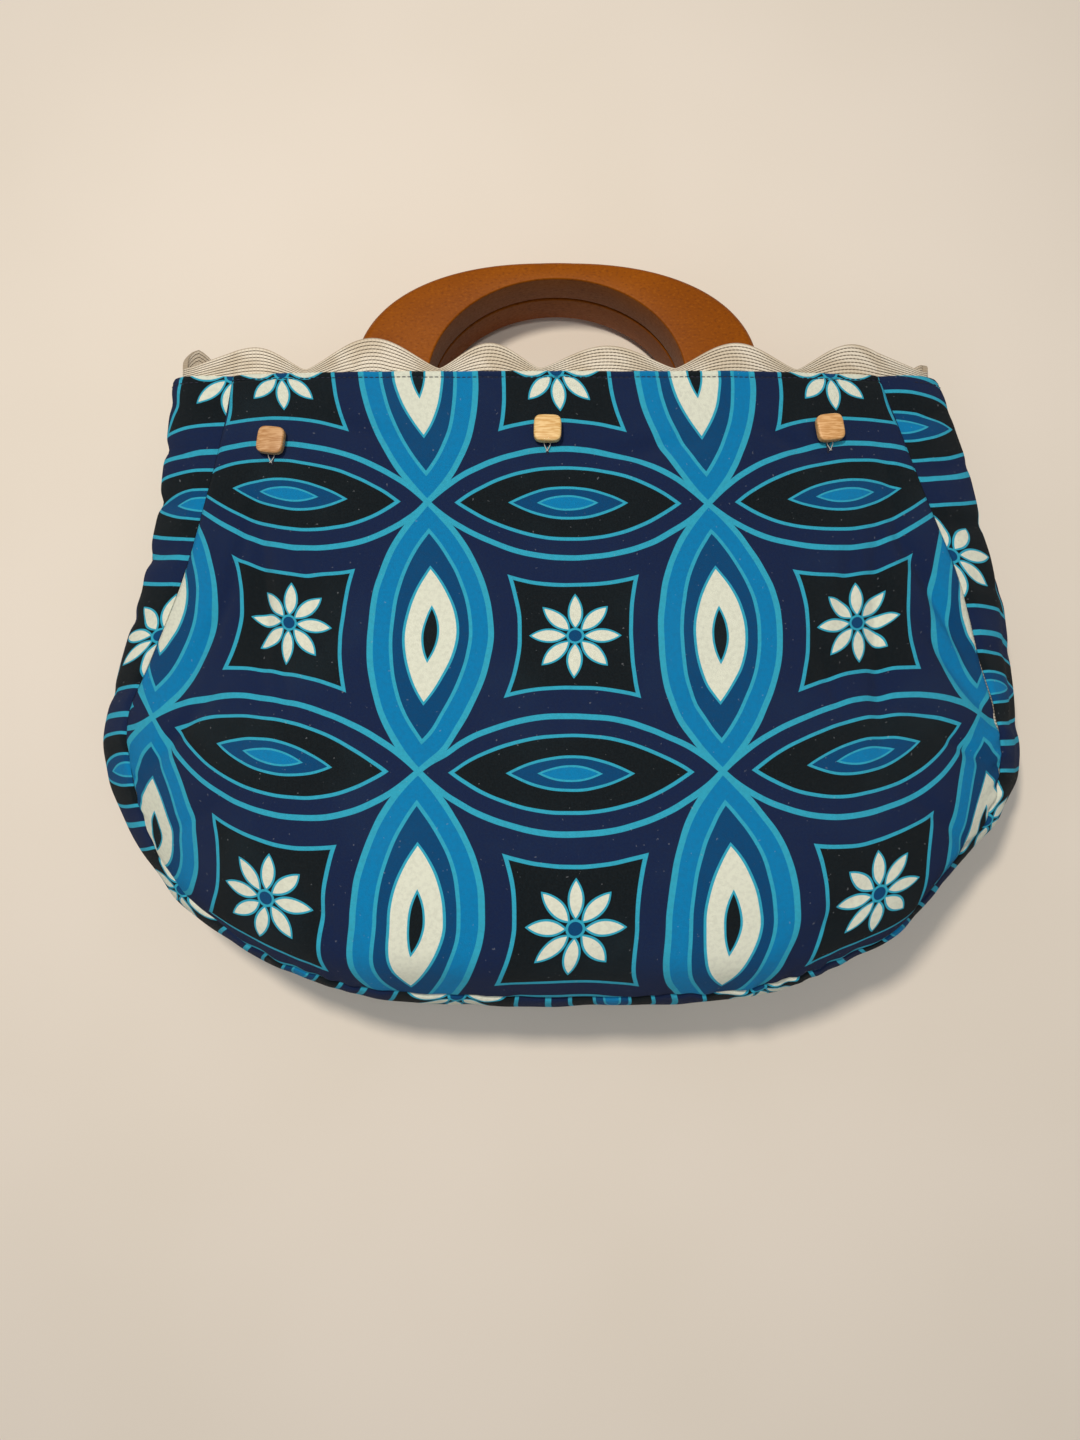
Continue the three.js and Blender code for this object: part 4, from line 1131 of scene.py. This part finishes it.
for name, low in (("back", wall_stack), ("front", wall_stack + HANDLE_THICKNESS + HANDLE_GAP)):
    rings = np.array([ring_of_wood(a, b, low) for a, b in zip(outer_line, inner_line)])
    closed = np.concatenate([rings, rings[:, :1]], axis=1)
    handle = sewn("wooden_handle_" + name, [(closed, closed[..., :2])])
    handle.data.set_sharp_from_angle(angle=math.radians(HANDLE_SHARP_TURN))
    stand_for(handle, "handle_" + name, wood)

# Plain wooden dowels go through the inner bag into the legs, out of sight under the cover. They are
# the solids themselves, in the handles' wood.
for place in ("front_left", "front_right", "back_left", "back_right"):
    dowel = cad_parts["handle_pin_" + place]
    dowel.data.materials.clear()
    dowel.data.materials.append(wood)

# The buttons: rounded squares of pale wood with eased edges and slightly domed faces. Each is cut
# with its own grain, and its shade differs from the others'.
BUTTON_WIDTH = 11
BUTTON_THICKNESS = 3.6
BUTTON_SQUARENESS = 4.2
BUTTON_EASE = 0.9
BUTTON_DOME = 0.15
BUTTON_POINTS = 48
GRAIN_STRETCH = (0.12, 1, 1)
BUTTON_TONES = {"left": ("c79a68", "a9763f"), "middle": ("e6c283", "c99a52"), "right": ("dfae74", "c08a4c")}


def button_material(name, turn):
    """Pale wood whose grain runs along the button's own turn."""
    material, tree, shader, place = new_material("pale_wood_" + name)
    along_grain = (("Rotation", (0, 0, math.radians(turn))), ("Scale", GRAIN_STRETCH))
    grain = add_node(tree, "ShaderNodeMapping", place, inputs=along_grain)
    lines = noise(tree, grain.outputs[0], 1500, 4)
    colour = mix(tree, between(tree, lines, 0.38, 0.62), *colours(*BUTTON_TONES[name]))
    finish_material(tree, shader, colour, 0.5, lines, 0.00005, Coat_Weight=0.08)
    return material


def button_ring(share, height):
    """A rounded square at a share of the button's half width and a height."""
    angle = np.linspace(0, 2 * np.pi, BUTTON_POINTS + 1)
    x, y = (np.sign(v) * np.abs(v) ** (2 / BUTTON_SQUARENESS) for v in (np.cos(angle), np.sin(angle)))
    half = share * BUTTON_WIDTH / 2
    return np.stack([x * half, y * half, np.full_like(x, height)], axis=1)


def button_frame(node, turn):
    """The button's own three directions, from its turn and the way that its solid faces."""
    up = max((face for face in node.data.polygons if face.normal.z > 0.5), key=lambda face: face.area).normal
    across = Vector((math.cos(math.radians(-turn)), math.sin(math.radians(-turn)), 0))
    across = (across - up * across.dot(up)).normalized()
    return np.array([across, up.cross(across), up])


half = BUTTON_THICKNESS / 2
ease = BUTTON_EASE / (BUTTON_WIDTH / 2)
quarter = np.linspace(0, np.pi / 2, 6)
profile = [(0.001, -half)]
profile += [(1 - ease + ease * math.sin(t), -half + BUTTON_EASE * (1 - math.cos(t))) for t in quarter]
profile += [(1 - ease + ease * math.cos(t), half - BUTTON_EASE * (1 - math.sin(t))) for t in quarter]
profile += [(0.5, half + 0.8 * BUTTON_DOME), (0.001, half + BUTTON_DOME)]
rings = np.array([button_ring(*row) for row in profile])[::-1]
for (name, turn), place in zip(BUTTONS, button_places):
    placed = rings @ button_frame(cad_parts["button_" + name], turn) + place
    button = sewn("wood_button_" + name, [(placed, rings[..., :2])])
    stand_for(button, "button_" + name, button_material(name, turn))

# The shanks: cotton thread wound between the inner bag and each button, and knotted below the
# button, where its two cut ends lie on the cover.
CORE_THREAD = 0.6
WOUND_THREAD = 0.3
WOUND_RADIUS = 0.72
WOUND_TURNS = 5
KNOT_THREAD = 0.2
THREAD_SIDES = 8
TURN_STEPS = 16
HEAD_GAP = 0.4

# Points of a cut end: how far to its own side of the button's middle, up the bag and outward
LOOSE_END = ((1.4, -4.2, -2.1), (1.1, -5.9, -2.8), (0.2, -7.6, -3.1), (-0.5, -8.3, -3.1))


def tube(points, radius):
    """A round thread along points: a grid of rings that close at both ends."""
    points = np.array(points, float)
    ahead = np.gradient(points, axis=0)
    ahead /= np.linalg.norm(ahead, axis=1)[:, None]
    level = np.where(np.abs(ahead[:, 2:]) > 0.9, [[0.0, 1.0, 0.0]], [[0.0, 0.0, 1.0]])
    side = np.cross(ahead, level)
    side /= np.linalg.norm(side, axis=1)[:, None]
    up = np.cross(side, ahead)
    angle = np.linspace(0, 2 * np.pi, THREAD_SIDES + 1)[None, :, None]
    rings = points[:, None] + radius * (np.cos(angle) * side[:, None] + np.sin(angle) * up[:, None])
    ends = (np.broadcast_to(end, (1, THREAD_SIDES + 1, 3)) for end in (points[0], points[-1]))
    first, last = ends
    grid = np.concatenate([first, rings, last])
    return grid, grid[..., :2]


GREY_COTTON, PALE_COTTON = colours("8f8c86", "c9c6be")
thread, tree, shader, place = new_material("cotton_thread")
strands = noise(tree, place, 1800)
finish_material(tree, shader, mix(tree, strands, GREY_COTTON, PALE_COTTON), 0.85, strands, 0.00008)
for (name, turn), place in zip(BUTTONS, button_places):
    low, high = box_of("button_shank_" + name)
    foot, head = np.array([(low + high) / 2] * 2)
    foot[2], head[2] = low[2], high[2] - HEAD_GAP
    t = np.linspace(0, 1, TURN_STEPS * WOUND_TURNS)[:, None]
    angle = 2 * np.pi * WOUND_TURNS * t
    wound = foot + (head - foot) * t + WOUND_RADIUS * np.hstack([np.cos(angle), np.sin(angle), 0 * t])
    grids = [tube([foot, (foot + head) / 2, head], CORE_THREAD), tube(wound, WOUND_THREAD)]
    axes = button_frame(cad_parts["button_" + name], turn)
    for side in (-1, 1):
        grids.append(tube(np.array(LOOSE_END) * (side, 1, 1) @ axes + place, KNOT_THREAD))
    shank = sewn("thread_shank_" + name, grids)
    stand_for(shank, "button_shank_" + name, thread)

# The floor: a plain pale board, which isn't part of the bag. It is wide enough for every view, and
# its tone drifts a little.
FLOOR_HALF = 2.5
BOARD, DULL_BOARD = colours("e4dacb", "e1d7c7")
floor_mesh = bpy.data.meshes.new("floor")
corners = [(x * FLOOR_HALF, y * FLOOR_HALF, 0) for x, y in ((-1, -1), (1, -1), (1, 1), (-1, 1))]
floor_mesh.from_pydata(corners, [], [(0, 1, 2, 3)])
board, tree, shader, place = new_material("pale_board")
clouds = between(tree, noise(tree, place, 7), 0.3, 0.7)
finish_material(tree, shader, mix(tree, clouds, BOARD, DULL_BOARD), 0.75)
floor_mesh.materials.append(board)
put_in_scene("floor", floor_mesh)

# The light: a warm lamp high above the bag's upper left, a fainter one overhead, and a pale room
# that fills the shadows. Each lamp has its place, its width, its power and its colour.
LAMP_AIM = (0.1, -0.12, 0)
LAMPS = (
    ("high_lamp", (-0.18, 0.19, 0.85), 0.1, 4.9, (1.0, 0.91, 0.81)),
    ("overhead_lamp", (0.06, -0.03, 1.3), 0.3, 2.7, (1.0, 0.95, 0.93)),
)
ROOM_COLOUR = (0.94, 0.98, 1.05, 1)
ROOM_LIGHT = 0.34
for name, place, width, power, colour in LAMPS:
    lamp_data = bpy.data.lights.new(name, "AREA")
    lamp_data.shape = "DISK"
    lamp_data.size = width
    lamp_data.energy = power
    lamp_data.color = colour
    lamp = put_in_scene(name, lamp_data)
    lamp.location = place
    lamp.rotation_euler = (Vector(LAMP_AIM) - lamp.location).to_track_quat("-Z", "Y").to_euler()
world = bpy.data.worlds.new("room")
world.use_nodes = True
background = world.node_tree.nodes["Background"]
background.inputs[0].default_value = ROOM_COLOUR
background.inputs[1].default_value = ROOM_LIGHT
bpy.context.scene.world = world
bpy.context.scene.view_settings.view_transform = "Standard"
